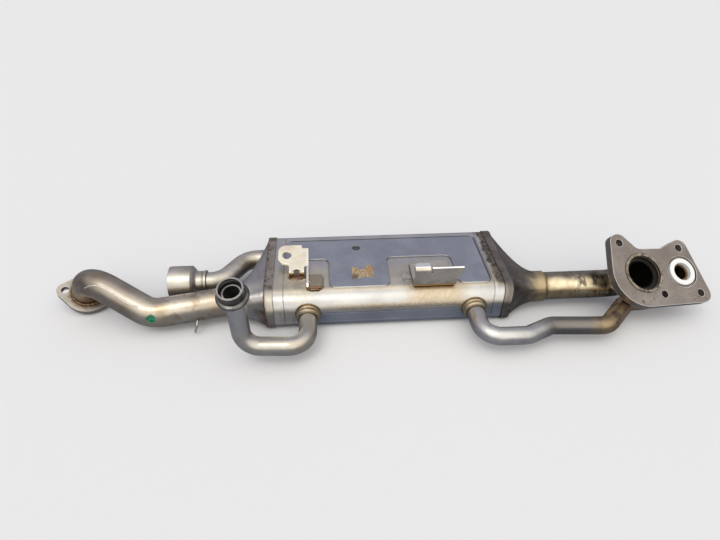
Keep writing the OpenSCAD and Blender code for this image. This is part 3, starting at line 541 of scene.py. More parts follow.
def inlet_pipe_steel():
    s = Surface("inlet_pipe_steel")
    colour, height = sheet_steel(s, (0.60, 0.48, 0.30), (0.92, 0.83, 0.62), 20)
    shadow = s.rise(s.frayed(s.z, 14, 4, 9), 34, 19)
    colour = s.tint(colour, s.times(shadow, 0.8), (0.13, 0.09, 0.05))
    # Painted shade: the pipe's top darker, above its highlight
    shaded_crown = s.rise(s.frayed(s.y, 14, 4, 12), INLET_NECK.y - 5, INLET_NECK.y + 5)
    colour = s.tint(colour, s.times(shaded_crown, 0.8), (0.15, 0.125, 0.10))
    blotch = s.patches(15, 4, 0.46, 0.60, stretch=(1.8, 0.8, 0.8))
    blotched = s.rise(s.x, INLET_NECK.x + 19, INLET_NECK.x + 40)
    colour = s.tint(colour, s.times(blotch, blotched, 0.9), (0.075, 0.058, 0.042))
    streak = s.patches(6, 5, 0.55, 0.7, stretch=(3, 0.7, 0.7))
    streaked = s.rise(s.x, INLET_NECK.x + 39, INLET_NECK.x + 76)
    colour = s.tint(colour, s.times(streak, streaked, 0.75), (0.10, 0.07, 0.04))
    weld_burn = s.rise(s.x, INLET_NECK.x + 6, INLET_NECK.x + 1)
    colour = s.tint(colour, s.times(weld_burn, 0.7), (0.12, 0.075, 0.035))
    reach, height_along = s.radial(INLET_FACE, INLET_N)
    bore = s.times(s.rise(reach, PIPE_R - 0.6, PIPE_R - 1.0), s.rise(height_along, -36, -32))
    mouth = s.rise(height_along, -FLANGE_T + 0.5, -FLANGE_T + 1.5)
    inside = s.math("MAXIMUM", bore, mouth)
    colour = s.tint(colour, inside, SOOT)
    rough = s.math("ADD", s.roughness(0.24, 0.36), s.times(inside, 0.4))
    return s.finish(colour, rough, height, depth=0.03)


def outlet_pipe_steel():
    s = Surface("outlet_pipe_steel")
    colour, height = sheet_steel(s, (0.44, 0.385, 0.305), (0.57, 0.52, 0.44), 28)
    straw = s.patches(30, 3, 0.5, 0.7)
    colour = s.tint(colour, s.times(straw, 0.6), (0.40, 0.295, 0.17))
    near_neck = s.between(s.x, OUTLET_NECK.x - 70, OUTLET_NECK.x - 16, 16)
    stain = s.times(near_neck, s.patches(13, 5, 0.5, 0.62))
    colour = s.tint(colour, s.times(stain, 0.55), (0.24, 0.165, 0.09))
    elbow = s.rise(s.x, OUTLET_NECK.x - 138, OUTLET_NECK.x - 164)
    far_end = s.times(elbow, s.patches(16, 4, 0.36, 0.6))
    colour = s.tint(colour, s.times(far_end, 0.7), (0.36, 0.27, 0.175))
    # Painted shade: the slanted far part darker, as it catches less light
    slanted = s.rise(s.x, OUTLET_NECK.x - 82, OUTLET_NECK.x - 120)
    colour = s.shade(colour, slanted, (0.70, 0.69, 0.70))
    above_flange = s.along(OUTLET_N, OUTLET_FACE)
    burnt = s.times(s.rise(s.frayed(above_flange, 4, 3, 5), 8, 2.5), 0.85)
    colour = s.tint(colour, burnt, (0.10, 0.055, 0.03))
    paint = s.ball(seen_on(outlet_pipe_tree, PAINT_DAB_PX), radius=5.4, soft=0.6, ragged=2.2, grain=8.0)
    green = s.tint((0.0, 0.085, 0.04), s.patches(3, 3, 0.38, 0.60), (0.01, 0.205, 0.095))
    colour = s.tint(colour, paint, green)
    rough = s.math("ADD", s.roughness(0.28, 0.42), s.times(paint, 0.15))
    return s.finish(colour, rough, height, depth=0.025, metallic=s.rest_of(paint))


def branch_steel():
    s = Surface("branch_steel")
    colour, height = sheet_steel(s, (0.45, 0.415, 0.36), (0.60, 0.56, 0.50), 24)
    straw = s.times(s.patches(18, 3, 0.52, 0.7), s.rise(s.x, -RIM_X - 60, -RIM_X - 10))
    colour = s.tint(colour, s.times(straw, 0.75), (0.36, 0.275, 0.14))
    turned = s.noise(0.7, 2, stretch=(1, 0.05, 0.05))
    height = s.math("ADD", height, s.times(turned, s.rise(s.x, SOCKET_X + 2, SOCKET_X - 1)))
    return s.finish(colour, s.roughness(0.30, 0.44), height, depth=0.03)


def coolant_in_steel():
    s = Surface("coolant_in_steel")
    colour, height = sheet_steel(s, (0.44, 0.43, 0.42), (0.60, 0.59, 0.57), 24, 1.6)
    pits = s.patches(3.0, 3, 0.60, 0.70)
    pitted = s.rise(s.x, RIM_X + 25, RIM_X + 75)
    colour = s.tint(colour, s.times(pits, pitted, 0.5), (0.34, 0.30, 0.25))
    dull = s.times(s.rise(s.x, RIM_X + 10, RIM_X + 42), 0.9)
    colour = s.tint(colour, dull, (0.15, 0.138, 0.125))
    gold = s.times(s.rise(s.frayed(s.x, 22, 3, 34), RIM_X + 86, RIM_X + 118), 0.9)
    colour = s.tint(colour, gold, (0.38, 0.27, 0.15))
    blotch = s.times(s.patches(11, 4, 0.50, 0.64), s.rise(s.x, RIM_X + 72, RIM_X + 100), 0.8)
    colour = s.tint(colour, blotch, (0.13, 0.095, 0.06))
    return s.finish(colour, s.roughness(0.26, 0.40), height, depth=0.035)


def coolant_out_steel():
    s = Surface("coolant_out_steel")
    colour, height = sheet_steel(s, (0.45, 0.425, 0.38), (0.60, 0.57, 0.51), 24)
    straw = s.patches(26, 3, 0.5, 0.7)
    colour = s.tint(colour, s.times(straw, 0.45), (0.50, 0.41, 0.27))
    # Painted reflection: the riser's upper part bluish grey
    bluish_reflection = s.times(s.rise(s.z, 34, 52), 0.45)
    colour = s.tint(colour, bluish_reflection, (0.42, 0.44, 0.50))
    return s.finish(colour, s.roughness(0.26, 0.40), height, depth=0.025)


def collar_steel():
    s = Surface("collar_steel")
    colour, height = sheet_steel(s, (0.36, 0.28, 0.175), (0.52, 0.44, 0.32), 9)
    brown = s.times(s.rise(s.y, FRONT_Y - 3.5, FRONT_Y - 0.5), 0.7)
    colour = s.tint(colour, brown, (0.18, 0.11, 0.055))
    return s.finish(colour, s.roughness(0.28, 0.42), height, depth=0.03)


def nipple_steel():
    s = Surface("nipple_steel")
    colour, height = sheet_steel(s, (0.09, 0.087, 0.083), (0.20, 0.193, 0.185), 10)
    speck = s.patches(2.2, 4, 0.60, 0.72)
    colour = s.tint(colour, s.times(speck, 0.8), SPECK_DARK)
    tip = max(v.co.dot(NIPPLE_AXIS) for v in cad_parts["hose_nipple"].data.vertices) / MM
    rim = s.rise(s.along(NIPPLE_AXIS), tip - 2.6, tip - 1.6)
    # Painted highlight: the mouth's rim pale and not metal
    painted_highlight = s.times(s.edges(0.9), rim)
    colour = s.tint(colour, painted_highlight, (0.90, 0.88, 0.85))
    return s.finish(colour, s.roughness(0.26, 0.45), height, depth=0.04, metallic=s.rest_of(painted_highlight))


def inlet_flange_steel():
    s = Surface("inlet_flange_steel")
    colour, height = sheet_steel(s, (0.255, 0.215, 0.19), (0.345, 0.305, 0.275), 26, 1.4, 0.25)
    worn = s.patches(6, 6, 0.60, 0.72)
    low_side = s.rise(s.along(INLET_Y, INLET_FACE), -12, -24)
    colour = s.tint(colour, s.times(worn, low_side, 0.85), (0.09, 0.045, 0.03))
    grey = s.times(s.patches(13, 5, 0.48, 0.66), 0.45)
    colour = s.tint(colour, grey, (0.20, 0.18, 0.17))
    pale = s.times(s.patches(2.6, 4, 0.6, 0.72), 0.35)
    colour = s.tint(colour, pale, (0.46, 0.43, 0.40))
    reach, along = s.radial(INLET_FACE, INLET_N)
    soot = s.times(s.rise(reach, GAS_PORT_R + 0.2, GAS_PORT_R - 0.1), s.rise(along, -1.2, -2.4))
    colour = s.tint(colour, s.times(soot, 0.9), (0.02, 0.018, 0.016))
    # Painted highlight: the flange's edges outside the gas port pale and not metal
    painted_highlight = s.times(s.edges(1.1), s.rise(reach, GAS_PORT_R + 4.2, GAS_PORT_R + 5.2))
    colour = s.tint(colour, painted_highlight, (0.86, 0.84, 0.80))
    rough = s.roughness(0.42, 0.58)
    return s.finish(colour, rough, height, depth=0.05, metallic=s.rest_of(painted_highlight), edge=1.2)


def outlet_flange_steel():
    s = Surface("outlet_flange_steel")
    colour, height = sheet_steel(s, (0.40, 0.365, 0.31), (0.52, 0.48, 0.42), 18, 1.4)
    reach, _ = s.radial(OUTLET_FACE, OUTLET_N)
    wobble = s.math("ADD", reach, s.times(s.math("SUBTRACT", s.noise(5, 4), 0.5), 9))
    burnt = s.times(s.rise(wobble, PIPE_R + 8.5, PIPE_R + 2), 0.9)
    colour = s.tint(colour, burnt, (0.14, 0.075, 0.04))
    # Painted highlight: the flange's edges pale and not metal
    painted_highlight = s.edges(0.8)
    colour = s.tint(colour, painted_highlight, (0.78, 0.75, 0.69))
    return s.finish(colour, s.roughness(0.40, 0.56), height, depth=0.05, metallic=s.rest_of(painted_highlight))


def seat_steel():
    s = Surface("seat_steel")
    colour, height = sheet_steel(s, (0.20, 0.17, 0.13), (0.42, 0.37, 0.28), 7)
    black = s.patches(4, 5, 0.50, 0.62)
    colour = s.tint(colour, s.times(black, 0.8), (0.06, 0.05, 0.04))
    return s.finish(colour, s.roughness(0.30, 0.5), height, depth=0.05)


def seal_white():
    s = Surface("seal_white", metallic=0.0)
    darkening = s.patches(5, 5, 0.62, 0.78)
    colour = s.tint((0.80, 0.80, 0.79), s.times(darkening, 0.4), (0.50, 0.48, 0.45))
    return s.finish(colour, s.roughness(0.45, 0.62), s.noise(1.0, 3), depth=0.04)


def eye_bracket_steel():
    s = Surface("eye_bracket_steel")
    colour, height = sheet_steel(s, (0.76, 0.69, 0.54), (0.90, 0.84, 0.71), 16)
    foot = s.times(s.rise(s.z, CASING_H + 5, CASING_H + 2), 0.85)
    colour = s.tint(colour, foot, (0.33, 0.26, 0.17))
    legs = s.times(s.rise(s.z, CASING_H + 6, CASING_H + 3.5), s.rise(s.x, EYE.x + 10, EYE.x + 8))
    colour = s.tint(colour, s.times(legs, s.patches(4, 4, 0.3, 0.5)), (0.24, 0.125, 0.045))
    edge = s.times(s.rise(s.y, EYE.y - 20, EYE.y - 23.5), s.rise(s.z, CASING_H + 4, CASING_H + 2))
    colour = s.tint(colour, s.times(edge, 0.9), (0.36, 0.17, 0.06))
    plate = s.rise(s.z, CASING_H + 4, CASING_H + 6)
    # Painted highlight along the plate's edges
    colour = s.tint(colour, s.times(plate, s.edges(0.9)), (0.95, 0.92, 0.85))
    upright = s.times(s.rise(s.x, EYE.x + 10.5, EYE.x + 11.5), plate, 0.8)
    colour = s.tint(colour, upright, (0.95, 0.93, 0.88))
    push = s.lean(s.times(plate, -0.08), "Y")
    return s.finish(colour, s.roughness(0.32, 0.46), height, depth=0.03, edge=1.1, push=push)


def stay_bracket_steel():
    s = Surface("stay_bracket_steel")
    colour, height = sheet_steel(s, (0.54, 0.495, 0.42), (0.67, 0.62, 0.54), 16)
    front = s.rise(s.y, STAY.y + 5, STAY.y + 2)
    bend = s.times(s.between(s.z, CASING_H - 1, CASING_H + 4.2, 0.8), front)
    colour = s.tint(colour, s.times(bend, 0.95), (0.52, 0.32, 0.11))
    above = s.times(s.between(s.z, CASING_H + 4, CASING_H + 9, 2.5), front)
    colour = s.tint(colour, s.times(above, s.patches(7, 4, 0.35, 0.6), 0.6), (0.44, 0.33, 0.18))
    # Painted highlight: the folded tab's top near white
    top = s.rise(s.z, CASING_H + STAY_H - 0.6, CASING_H + STAY_H - 0.1)
    colour = s.tint(colour, top, (0.92, 0.90, 0.86))
    push = s.lean(s.times(top, s.rise(s.y, STAY.y + 4.5, STAY.y + 2.5), -0.8), "Y")
    return s.finish(colour, s.roughness(0.28, 0.42), height, depth=0.03, edge=1.1, push=push)


def core_steel():
    s = Surface("core_steel")
    colour, height = sheet_steel(s, (0.5, 0.49, 0.47), (0.62, 0.6, 0.57))
    return s.finish(colour, s.roughness(0.34, 0.48), height, depth=0.02)


def weld_metal(name, low, high, rusty, depth=0.08):
    s = Surface(name)
    colour = s.tint(low, s.patches(3, 5, 0.35, 0.65), high)
    colour = s.tint(colour, s.times(s.patches(4.5, 5, 0.46, 0.6), rusty), RUST)
    return s.finish(colour, s.roughness(0.4, 0.65, size=4), s.noise(0.6, 3), depth=depth)


def residue_paper():
    s = Surface("residue_paper", metallic=0.0)
    colour = s.tint((0.26, 0.18, 0.10), s.patches(3, 6, 0.35, 0.65), (0.47, 0.36, 0.22))
    lobe = s.ball(on_panel(RESIDUE_LOBE_PX), radius=6.5, soft=3.0, ragged=3.0, grain=4.0)
    colour = s.tint(colour, s.times(lobe, 0.7), (0.33, 0.19, 0.08))
    low_left = s.ball(on_panel(RESIDUE_DARK_PX), radius=5.0, soft=2.5, ragged=3.0, grain=4.0)
    colour = s.tint(colour, s.times(low_left, 0.85), (0.10, 0.07, 0.055))
    dark = s.patches(2.2, 6, 0.56, 0.66)
    colour = s.tint(colour, s.times(dark, 0.85), (0.07, 0.045, 0.03))
    return s.finish(colour, s.roughness(0.55, 0.8, size=3), s.noise(0.9, 4), depth=0.25)


MATERIALS = {
    "upper_shell": casing_steel(),
    "inlet_header": inlet_header_steel(),
    "outlet_header": outlet_header_steel(),
    "inlet_cone": inlet_cone_steel(),
    "outlet_cone": outlet_cone_steel(),
    "inlet_pipe": inlet_pipe_steel(),
    "inlet_flange": inlet_flange_steel(),
    "gas_seat_ring": seat_steel(),
    "coolant_seal": seal_white(),
    "outlet_pipe": outlet_pipe_steel(),
    "outlet_flange": outlet_flange_steel(),
    "branch_pipe": branch_steel(),
    "coolant_inlet_tube": coolant_in_steel(),
    "coolant_inlet_collar": collar_steel(),
    "coolant_outlet_tube": coolant_out_steel(),
    "hose_nipple": nipple_steel(),
    "eye_bracket": eye_bracket_steel(),
    "stay_bracket": stay_bracket_steel(),
    "gas_tube_1": core_steel(),
}
SAME_AS = {
    "lower_shell": "upper_shell",
    "branch_socket": "branch_pipe",
    "coolant_outlet_collar": "coolant_inlet_collar",
    "locating_hook": "stay_bracket",
}


def dress_nodes():
    for name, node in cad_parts.items():
        if name.startswith("gas_") and name != "gas_seat_ring":
            source = "gas_tube_1"
        else:
            source = SAME_AS.get(name, name)
        node.data.materials.clear()
        node.data.materials.append(MATERIALS[source])


dress_nodes()


# Pieces that are added to the solids
def add_piece(name, mesh_data, material):
    mesh = bpy.data.meshes.new(name)
    mesh_data.to_mesh(mesh)
    mesh_data.free()
    mesh.transform(Matrix.Scale(MM, 4))
    for polygon in mesh.polygons:
        polygon.use_smooth = True
    mesh.materials.append(material)
    piece = bpy.data.objects.new(name, mesh)
    bpy.context.scene.collection.objects.link(piece)
    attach(piece, "root")


TINY = 1e-9


def resample(points, step, closed):
    """The same line with points at an even step."""
    line = points + [points[0]] if closed else points
    lengths = [0.0]
    for a, b in zip(line, line[1:]):
        lengths.append(lengths[-1] + (b - a).length)
    count = max(3, round(lengths[-1] / step))
    found = []
    k = 0
    for i in range(count if closed else count + 1):
        want = lengths[-1] * i / count
        while k < len(line) - 2 and lengths[k + 1] < want:
            k += 1
        share = (want - lengths[k]) / max(TINY, lengths[k + 1] - lengths[k])
        found.append(line[k].lerp(line[k + 1], share))
    return found


# Weld beads: sides of the rod, grain of the lumps for each millimetre, and thickness at an open end
BEAD_SIDES = 9
LUMP_COARSE = 0.35
LUMP_FINE = 0.9
BEAD_TIP = 0.15


def bead(points, radius, up, ripple=0.18, pitch=2.2, lump=0.25, step=0.55, closed=True, flat=1.0):
    """A weld bead along a line: a rod with the ripples and lumps of its passes."""
    line = resample(points, step, closed)
    data = bmesh.new()
    rings = []
    total = len(line)
    for i, at in enumerate(line):
        ahead = line[(i + 1) % total] if closed or i < total - 1 else at
        behind = line[i - 1] if closed or i > 0 else at
        along = (ahead - behind).normalized()
        normal = up(at) if callable(up) else up
        side = along.cross(normal).normalized()
        normal = side.cross(along)
        wave = 1 + ripple * abs(math.sin(math.pi * i * step / pitch))
        wave += lump * noise.noise(at * LUMP_COARSE) + 0.5 * lump * noise.noise(at * LUMP_FINE)
        end = 1.0
        if not closed:
            end = min(1.0, BEAD_TIP + min(i, total - 1 - i) * step / radius)
        ring = []
        for k in range(BEAD_SIDES):
            a = 2 * math.pi * k / BEAD_SIDES
            offset = side * math.cos(a) + normal * math.sin(a) * flat
            ring.append(data.verts.new(at + offset * radius * wave * end))
        rings.append(ring)
    pairs = zip(rings, rings[1:] + rings[:1]) if closed else zip(rings, rings[1:])
    for a, b in pairs:
        for k in range(BEAD_SIDES):
            n = (k + 1) % BEAD_SIDES
            data.faces.new((a[k], b[k], b[n], a[n]))
    if not closed:
        data.faces.new(rings[0])
        data.faces.new(reversed(rings[-1]))
    bmesh.ops.recalc_face_normals(data, faces=data.faces)
    return data


def circle(centre, axis, radius, count=96):
    side = axis.normalized().orthogonal().normalized()
    other = axis.normalized().cross(side)
    return [
        centre + radius * (math.cos(a) * side + math.sin(a) * other)
        for a in (2 * math.pi * k / count for k in range(count))
    ]


CORNER_POINTS = 10


def casing_ring(x, grow):
    """The casing's rounded section at x, grown outwards."""
    y = CASING_W / 2 + grow
    low = BASE_Z - grow
    high = TOP_Z + grow
    corners = [
        (y - TOP_R - grow, high - TOP_R - grow, TOP_R + grow, 0),
        (-y + TOP_R + grow, high - TOP_R - grow, TOP_R + grow, 90),
        (-y + BOTTOM_R + grow, low + BOTTOM_R + grow, BOTTOM_R + grow, 180),
        (y - BOTTOM_R - grow, low + BOTTOM_R + grow, BOTTOM_R + grow, 270),
    ]
    points = []
    for cy, cz, r, start in corners:
        for k in range(CORNER_POINTS + 1):
            a = math.radians(start + 90 * k / CORNER_POINTS)
            points.append(Vector((x, cy + r * math.cos(a), cz + r * math.sin(a))))
    return points


MOUND_GRAIN = 0.45


def mound(centre, sizes, wobble=0.3, across=22):
    """A low lump of weld metal with a ragged round edge."""
    data = bmesh.new()
    bmesh.ops.create_uvsphere(data, u_segments=across * 2, v_segments=across, radius=1.0)
    for v in data.verts:
        shape = Vector((v.co.x * sizes[0], v.co.y * sizes[1], v.co.z * sizes[2]))
        v.co = centre + shape * (1 + wobble * noise.noise((centre + shape) * MOUND_GRAIN))
    return data


rusty_weld = weld_metal("rusty_weld", (0.13, 0.085, 0.058), (0.27, 0.195, 0.135), rusty=0.6)
dark_weld = weld_metal("dark_weld", (0.06, 0.05, 0.042), (0.15, 0.125, 0.10), rusty=0.25)
bronze_weld = weld_metal("bronze_weld", (0.24, 0.16, 0.075), (0.44, 0.33, 0.18), rusty=0.35)
clean_weld = weld_metal("clean_weld", (0.42, 0.38, 0.31), (0.60, 0.56, 0.48), rusty=0.12)
seam_weld = weld_metal("seam_weld", (0.70, 0.65, 0.56), (0.85, 0.80, 0.71), rusty=0.0, depth=0.01)

# Welds of the casing's ends: how far the beads stand out, and how flat the casing's section is
END_BEAD_OUT = 0.1
SECTION_FLATNESS = 2.2


def casing_up(at):
    """Roughly outwards from the casing's section."""
    return Vector((0, at.y, SECTION_FLATNESS * (at.z - BASE_Z - CASING_H / 2))).normalized()


def add_end_welds():
    rim = RIM_X + END_BEAD_OUT
    lap = END_X - RIM_LAP
    rings = [
        ("weld_outlet_cone", -rim, 0.6, rusty_weld),
        ("weld_inlet_cone", rim, 0.7, dark_weld),
        ("weld_outlet_lap", -lap, 0.45, clean_weld),
        ("weld_inlet_lap", lap, 0.4, dark_weld),
    ]
    for name, x, thick, material in rings:
        add_piece(name, bead(casing_ring(x, END_BEAD_OUT), thick, casing_up), material)


# Welds of the pipes: radius and thickness of each ring's bead
NECK_BEAD_ON = 0.2
NECK_BEAD = (PIPE_R + 0.5, 1.0)
INLET_FLANGE_BEAD = (PIPE_R + 0.8, 1.7)
COOLANT_FLANGE_BEAD = (TUBE_R + 0.7, 1.4)
OUTLET_FLANGE_BEAD = (PIPE_R + 0.9, 1.6)
COLLAR_BEAD = (COLLAR_R, 0.9)
BRANCH_BEAD = (BRANCH_R + 0.5, 1.1)
BRANCH_BEAD_POINTS = 72


def add_pipe_welds():
    inlet_neck = INLET_NECK + NECK_BEAD_ON * X_AXIS
    outlet_neck = OUTLET_NECK - NECK_BEAD_ON * X_AXIS
    flange_back = FLANGE_T * INLET_N
    gas_back = INLET_FACE - flange_back
    coolant_back = COOLANT_PORT - flange_back
    rings = [
        ("weld_inlet_neck", inlet_neck, X_AXIS, NECK_BEAD, bronze_weld, "hot_steel"),
        ("weld_outlet_neck", outlet_neck, X_AXIS, NECK_BEAD, clean_weld, "pipe_steel"),
        ("weld_inlet_flange", gas_back, INLET_N, INLET_FLANGE_BEAD, dark_weld, "hot_steel"),
        ("weld_coolant_flange", coolant_back, INLET_N, COOLANT_FLANGE_BEAD, dark_weld, "flange_steel"),
        ("weld_outlet_flange", OUTLET_FACE, OUTLET_N, OUTLET_FLANGE_BEAD, rusty_weld, "flange_steel"),
        ("weld_inlet_collar", COOLANT_IN, Y_AXIS, COLLAR_BEAD, bronze_weld, "bracket_steel"),
        ("weld_outlet_collar", COOLANT_OUT, Y_AXIS, COLLAR_BEAD, bronze_weld, "bracket_steel"),
    ]
    for name, centre, axis, (radius, thick), material, slot in rings:
        add_piece(name, bead(circle(centre, axis, radius), thick, axis), material)


def add_branch_weld():
    """The bead where the branch pipe meets the outlet cone's slope."""
    tree = node_tree("outlet_cone")
    radius, thick = BRANCH_BEAD
    line = []
    for at in circle(BRANCH_START, X_AXIS, radius, BRANCH_BEAD_POINTS):
        hit, _, _, _ = tree.ray_cast(at * MM, X_AXIS)
        if hit is not None:
            line.append(hit / MM)
    add_piece("weld_branch", bead(line, thick, -X_AXIS), clean_weld)


# Welds of the brackets
EYE_LEG_WELD = EYE + Vector((0, -1.5, 0))
EYE_LEG_SIZES = (10.0, 4.6, 1.5)
EYE_FOOT_WELD = EYE + Vector((14.0, -24.3, 0.3))
EYE_FOOT_L = 12.0
EYE_FOOT_BEAD_R = 1.2
EYE_SPOT = EYE + Vector((24.5, -18.5, 2.5))
EYE_SPOT_R = 1.6
STAY_SPOT = STAY + Vector((5.0, 40.0, 2.5))
STAY_SPOT_R = 2.2
SPOT_H = 0.5


def add_bracket_welds():
    add_piece("weld_eye_leg", mound(EYE_LEG_WELD, EYE_LEG_SIZES), rusty_weld)
    foot = [EYE_FOOT_WELD, EYE_FOOT_WELD + EYE_FOOT_L * X_AXIS]
    foot_bead = bead(foot, EYE_FOOT_BEAD_R, Z_AXIS, closed=False)
    add_piece("weld_eye_foot", foot_bead, rusty_weld)
    spots = [
        ("spot_eye_foot", EYE_SPOT, EYE_SPOT_R),
        ("spot_stay_foot", STAY_SPOT, STAY_SPOT_R),
    ]
    for name, at, radius in spots:
        spot = mound(at, (radius, radius, SPOT_H), wobble=0.12, across=10)
        add_piece(name, spot, clean_weld)


# Long seam on the outlet pipe, followed along the photograph's pixels
SEAM_PX = [
    (84, 288.4), (90, 285.8), (96, 285.4), (102, 287.4), (108, 290.6),
    (114, 294.6), (120, 298.8), (126, 302.8), (132, 305.4), (138, 307),
]
SEAM_R = 0.75
SEAM_LIFT = 0.1
SEAM_STEP = 1.0
SEAM_FLAT = 0.6
SEAM_SMOOTHING = 6


def smoothed(points):
    """The line with each point moved towards the middle of its neighbours, over and over."""
    for _ in range(SEAM_SMOOTHING):
        inner = [(a + 2 * b + c) / 4 for a, b, c in zip(points, points[1:], points[2:])]
        points = [points[0]] + inner + [points[-1]]
    return points


def add_pipe_seam():
    seen = resample([seen_on(outlet_pipe_tree, px) for px in SEAM_PX], SEAM_STEP, False)
    found = [outlet_pipe_tree.find_nearest(at * MM) for at in smoothed(seen)]
    facings = smoothed([normal for _, normal, _, _ in found])
    line = smoothed([at / MM + facing * SEAM_LIFT for (at, _, _, _), facing in zip(found, facings)])

    def up(at):
        return facings[min(range(len(line)), key=lambda k: (line[k] - at).length)]

    ridge = bead(line, SEAM_R, up, ripple=0.0, lump=0.0, step=SEAM_STEP, closed=False, flat=SEAM_FLAT)
    add_piece("pipe_seam", ridge, seam_weld)


# Residue of a label on the pressed panel: its torn outline along the photograph's pixels
RESIDUE_PX = [
    (351.6, 267.2), (356.5, 267.6), (361.8, 269.6), (364.6, 268.4), (366.4, 265.4),
    (369.6, 264.8), (372.2, 267), (373.4, 272), (374.2, 276.6), (367, 276.4),
    (360, 277.6), (352.4, 279.4), (351.2, 273),
]
RESIDUE_STEP = 0.3
RESIDUE_MARGIN = 1.0
RESIDUE_FILM = 0.06
RESIDUE_T = 0.5
RESIDUE_LEAST = 0.03
RESIDUE_SINK = 0.05
TEAR_GRAIN = 0.3
TEAR_LAYER = 3.7
TEAR_OCTAVES = 6
TEAR_SHARE = 0.45
INWARD_SHARE = 0.5
UNTORN = 0.15
CRUMPLE_GRAIN = 0.55
CRUMPLE_LAYER = 1.1
CRUMPLE_OCTAVES = 4
CRUMPLE_SHARE = 0.5
CRUMPLE_MIDDLE = 0.55
FILL_RATE = 1.5
OCTAVE_FADE = 0.8
OCTAVE_STEP = 2.0


def inside_by(at, outline):
    """How far inside a closed outline a place lies, below zero outside."""
    nearest = math.inf
    within = False
    for a, b in zip(outline, outline[1:] + outline[:1]):
        side = b - a
        share = max(0.0, min(1.0, (at - a).dot(side) / side.length_squared))
        nearest = min(nearest, (at - a - side * share).length)
        if (a.y > at.y) != (b.y > at.y) and at.x < a.x + side.x * (at.y - a.y) / side.y:
            within = not within
    return nearest if within else -nearest


def crumple(at, grain, layer, octaves):
    """Uneven values around zero over the panel's plane."""
    return noise.fractal(Vector((at.x * grain, at.y * grain, layer)), OCTAVE_FADE, OCTAVE_STEP, octaves)


def residue_height(at, outline):
    """Height of the residue above the panel, or none where it is torn away."""
    torn = crumple(at, TEAR_GRAIN, TEAR_LAYER, TEAR_OCTAVES)
    left = inside_by(at, outline) * INWARD_SHARE + TEAR_SHARE * torn + UNTORN
    if left <= 0:
        return None
    rough = crumple(at, CRUMPLE_GRAIN, CRUMPLE_LAYER, CRUMPLE_OCTAVES)
    fullness = min(1.0, left * FILL_RATE) * (CRUMPLE_MIDDLE + CRUMPLE_SHARE * rough)
    return max(RESIDUE_LEAST, RESIDUE_FILM + RESIDUE_T * fullness)


def add_residue():
    outline = [on_panel(px).xy for px in RESIDUE_PX]
    margin = Vector((RESIDUE_MARGIN, RESIDUE_MARGIN))
    low = Vector((min(p.x for p in outline), min(p.y for p in outline))) - margin
    high = Vector((max(p.x for p in outline), max(p.y for p in outline))) + margin
    columns, rows = (math.ceil((b - a) / RESIDUE_STEP) for a, b in zip(low, high))
    data = bmesh.new()
    tops = {}
    for i in range(columns + 1):
        for k in range(rows + 1):
            at = low + RESIDUE_STEP * Vector((i, k))
            height = residue_height(at, outline)
            if height is not None:
                tops[i, k] = data.verts.new((at.x, at.y, PANEL_Z + height))
    for i in range(columns):
        for k in range(rows):
            corners = [tops.get(c) for c in ((i, k), (i + 1, k), (i + 1, k + 1), (i, k + 1))]
            if all(corners):
                data.faces.new(corners)
    loose = [v for v in data.verts if not v.link_faces]
    bmesh.ops.delete(data, geom=loose, context="VERTS")
    border = [e for e in data.edges if e.is_boundary]
    skirt = bmesh.ops.extrude_edge_only(data, edges=border)["geom"]
    for v in skirt:
        if isinstance(v, bmesh.types.BMVert):
            v.co.z = PANEL_Z - RESIDUE_SINK
    bmesh.ops.recalc_face_normals(data, faces=data.faces)
    add_piece("label_residue", data, residue_paper())


add_end_welds()
add_pipe_welds()
add_branch_weld()
add_bracket_welds()
add_pipe_seam()
add_residue()

# Floor, light and backdrop
FLOOR_SIZE_M = 8.0
FLOOR_ROUGHNESS = 0.9
FLOOR_SHINE = 0.1
FLOOR_PALE = (0.74, 0.745, 0.76)
FLOOR_IN_METAL = (0.27, 0.285, 0.33)


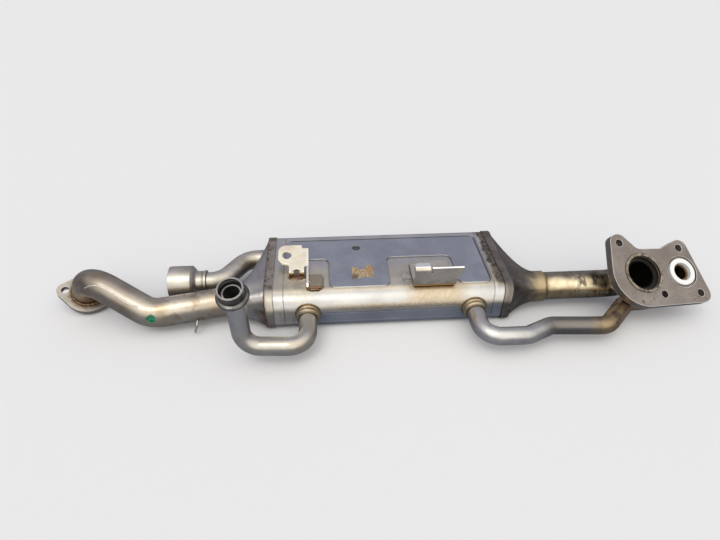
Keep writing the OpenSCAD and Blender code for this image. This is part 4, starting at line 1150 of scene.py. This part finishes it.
def make_floor():
    """A pale floor that shows darker in the metal, so that the steel keeps its contrast."""
    bpy.ops.mesh.primitive_plane_add(size=FLOOR_SIZE_M, location=(0, 0, cad_box[0].z))
    floor = bpy.context.object
    floor.name = "floor"
    material = bpy.data.materials.new("floor_paint")
    material.use_nodes = True
    paint = Nodes(material.node_tree)
    shader = paint.nodes["Principled BSDF"]
    shader.inputs["Roughness"].default_value = FLOOR_ROUGHNESS
    shader.inputs["Specular IOR Level"].default_value = FLOOR_SHINE
    glossy_ray = paint.nodes.new("ShaderNodeLightPath").outputs["Is Glossy Ray"]
    paint.plug(paint.tint(FLOOR_PALE, glossy_ray, FLOOR_IN_METAL), shader.inputs["Base Color"])
    floor.data.materials.append(material)


# Sky: colours, the share of the direction's y and z that each part follows, and where it starts and is full
SKY_LOW = (0.20, 0.21, 0.24)
SKY_BACK = (0.47, 0.475, 0.55)
SKY_OVERHEAD = (1.64, 1.59, 1.49)
BACKDROP = (0.84, 0.845, 0.855)
BACK_SHARES = (0.55, 0.6)
BACK_LIMITS = (-0.2, 0.45)
OVERHEAD_SHARES = (-0.643, 0.766)
OVERHEAD_LIMITS = (0.2, 1.0)
HORIZON_LIMITS = (-0.05, 0.35)


def make_sky():
    """A studio dome: bright above the viewer, softer at the back, dark near the horizon.

    The camera itself sees a plain pale backdrop.
    """
    world = bpy.data.worlds.new("studio")
    bpy.context.scene.world = world
    world.use_nodes = True
    sky = Nodes(world.node_tree)
    _, y, z = sky.parts(sky.nodes.new("ShaderNodeTexCoord").outputs["Generated"])

    def towards(shares):
        return sky.math("ADD", sky.times(y, shares[0]), sky.times(z, shares[1]))

    colour = sky.tint(SKY_LOW, sky.rise(towards(BACK_SHARES), *BACK_LIMITS), SKY_BACK)
    colour = sky.tint(colour, sky.rise(towards(OVERHEAD_SHARES), *OVERHEAD_LIMITS), SKY_OVERHEAD)
    colour = sky.tint(SKY_LOW, sky.rise(z, *HORIZON_LIMITS), colour)
    camera_ray = sky.nodes.new("ShaderNodeLightPath").outputs["Is Camera Ray"]
    background = sky.nodes["Background"]
    sky.plug(sky.tint(colour, camera_ray, BACKDROP), background.inputs["Color"])
    background.inputs["Strength"].default_value = 1.0


SUN_STRENGTH = 0.45
SUN_WIDTH = math.radians(25)
SUN_TOWARDS = Vector((0.35, 0.45, -1))


def make_sun():
    data = bpy.data.lights.new("key", "SUN")
    data.energy = SUN_STRENGTH
    data.angle = SUN_WIDTH
    light = bpy.data.objects.new("key", data)
    light.rotation_euler = SUN_TOWARDS.to_track_quat("-Z", "Y").to_euler()
    bpy.context.scene.collection.objects.link(light)


make_floor()
make_sky()
make_sun()
bpy.context.scene.view_settings.view_transform = "Standard"
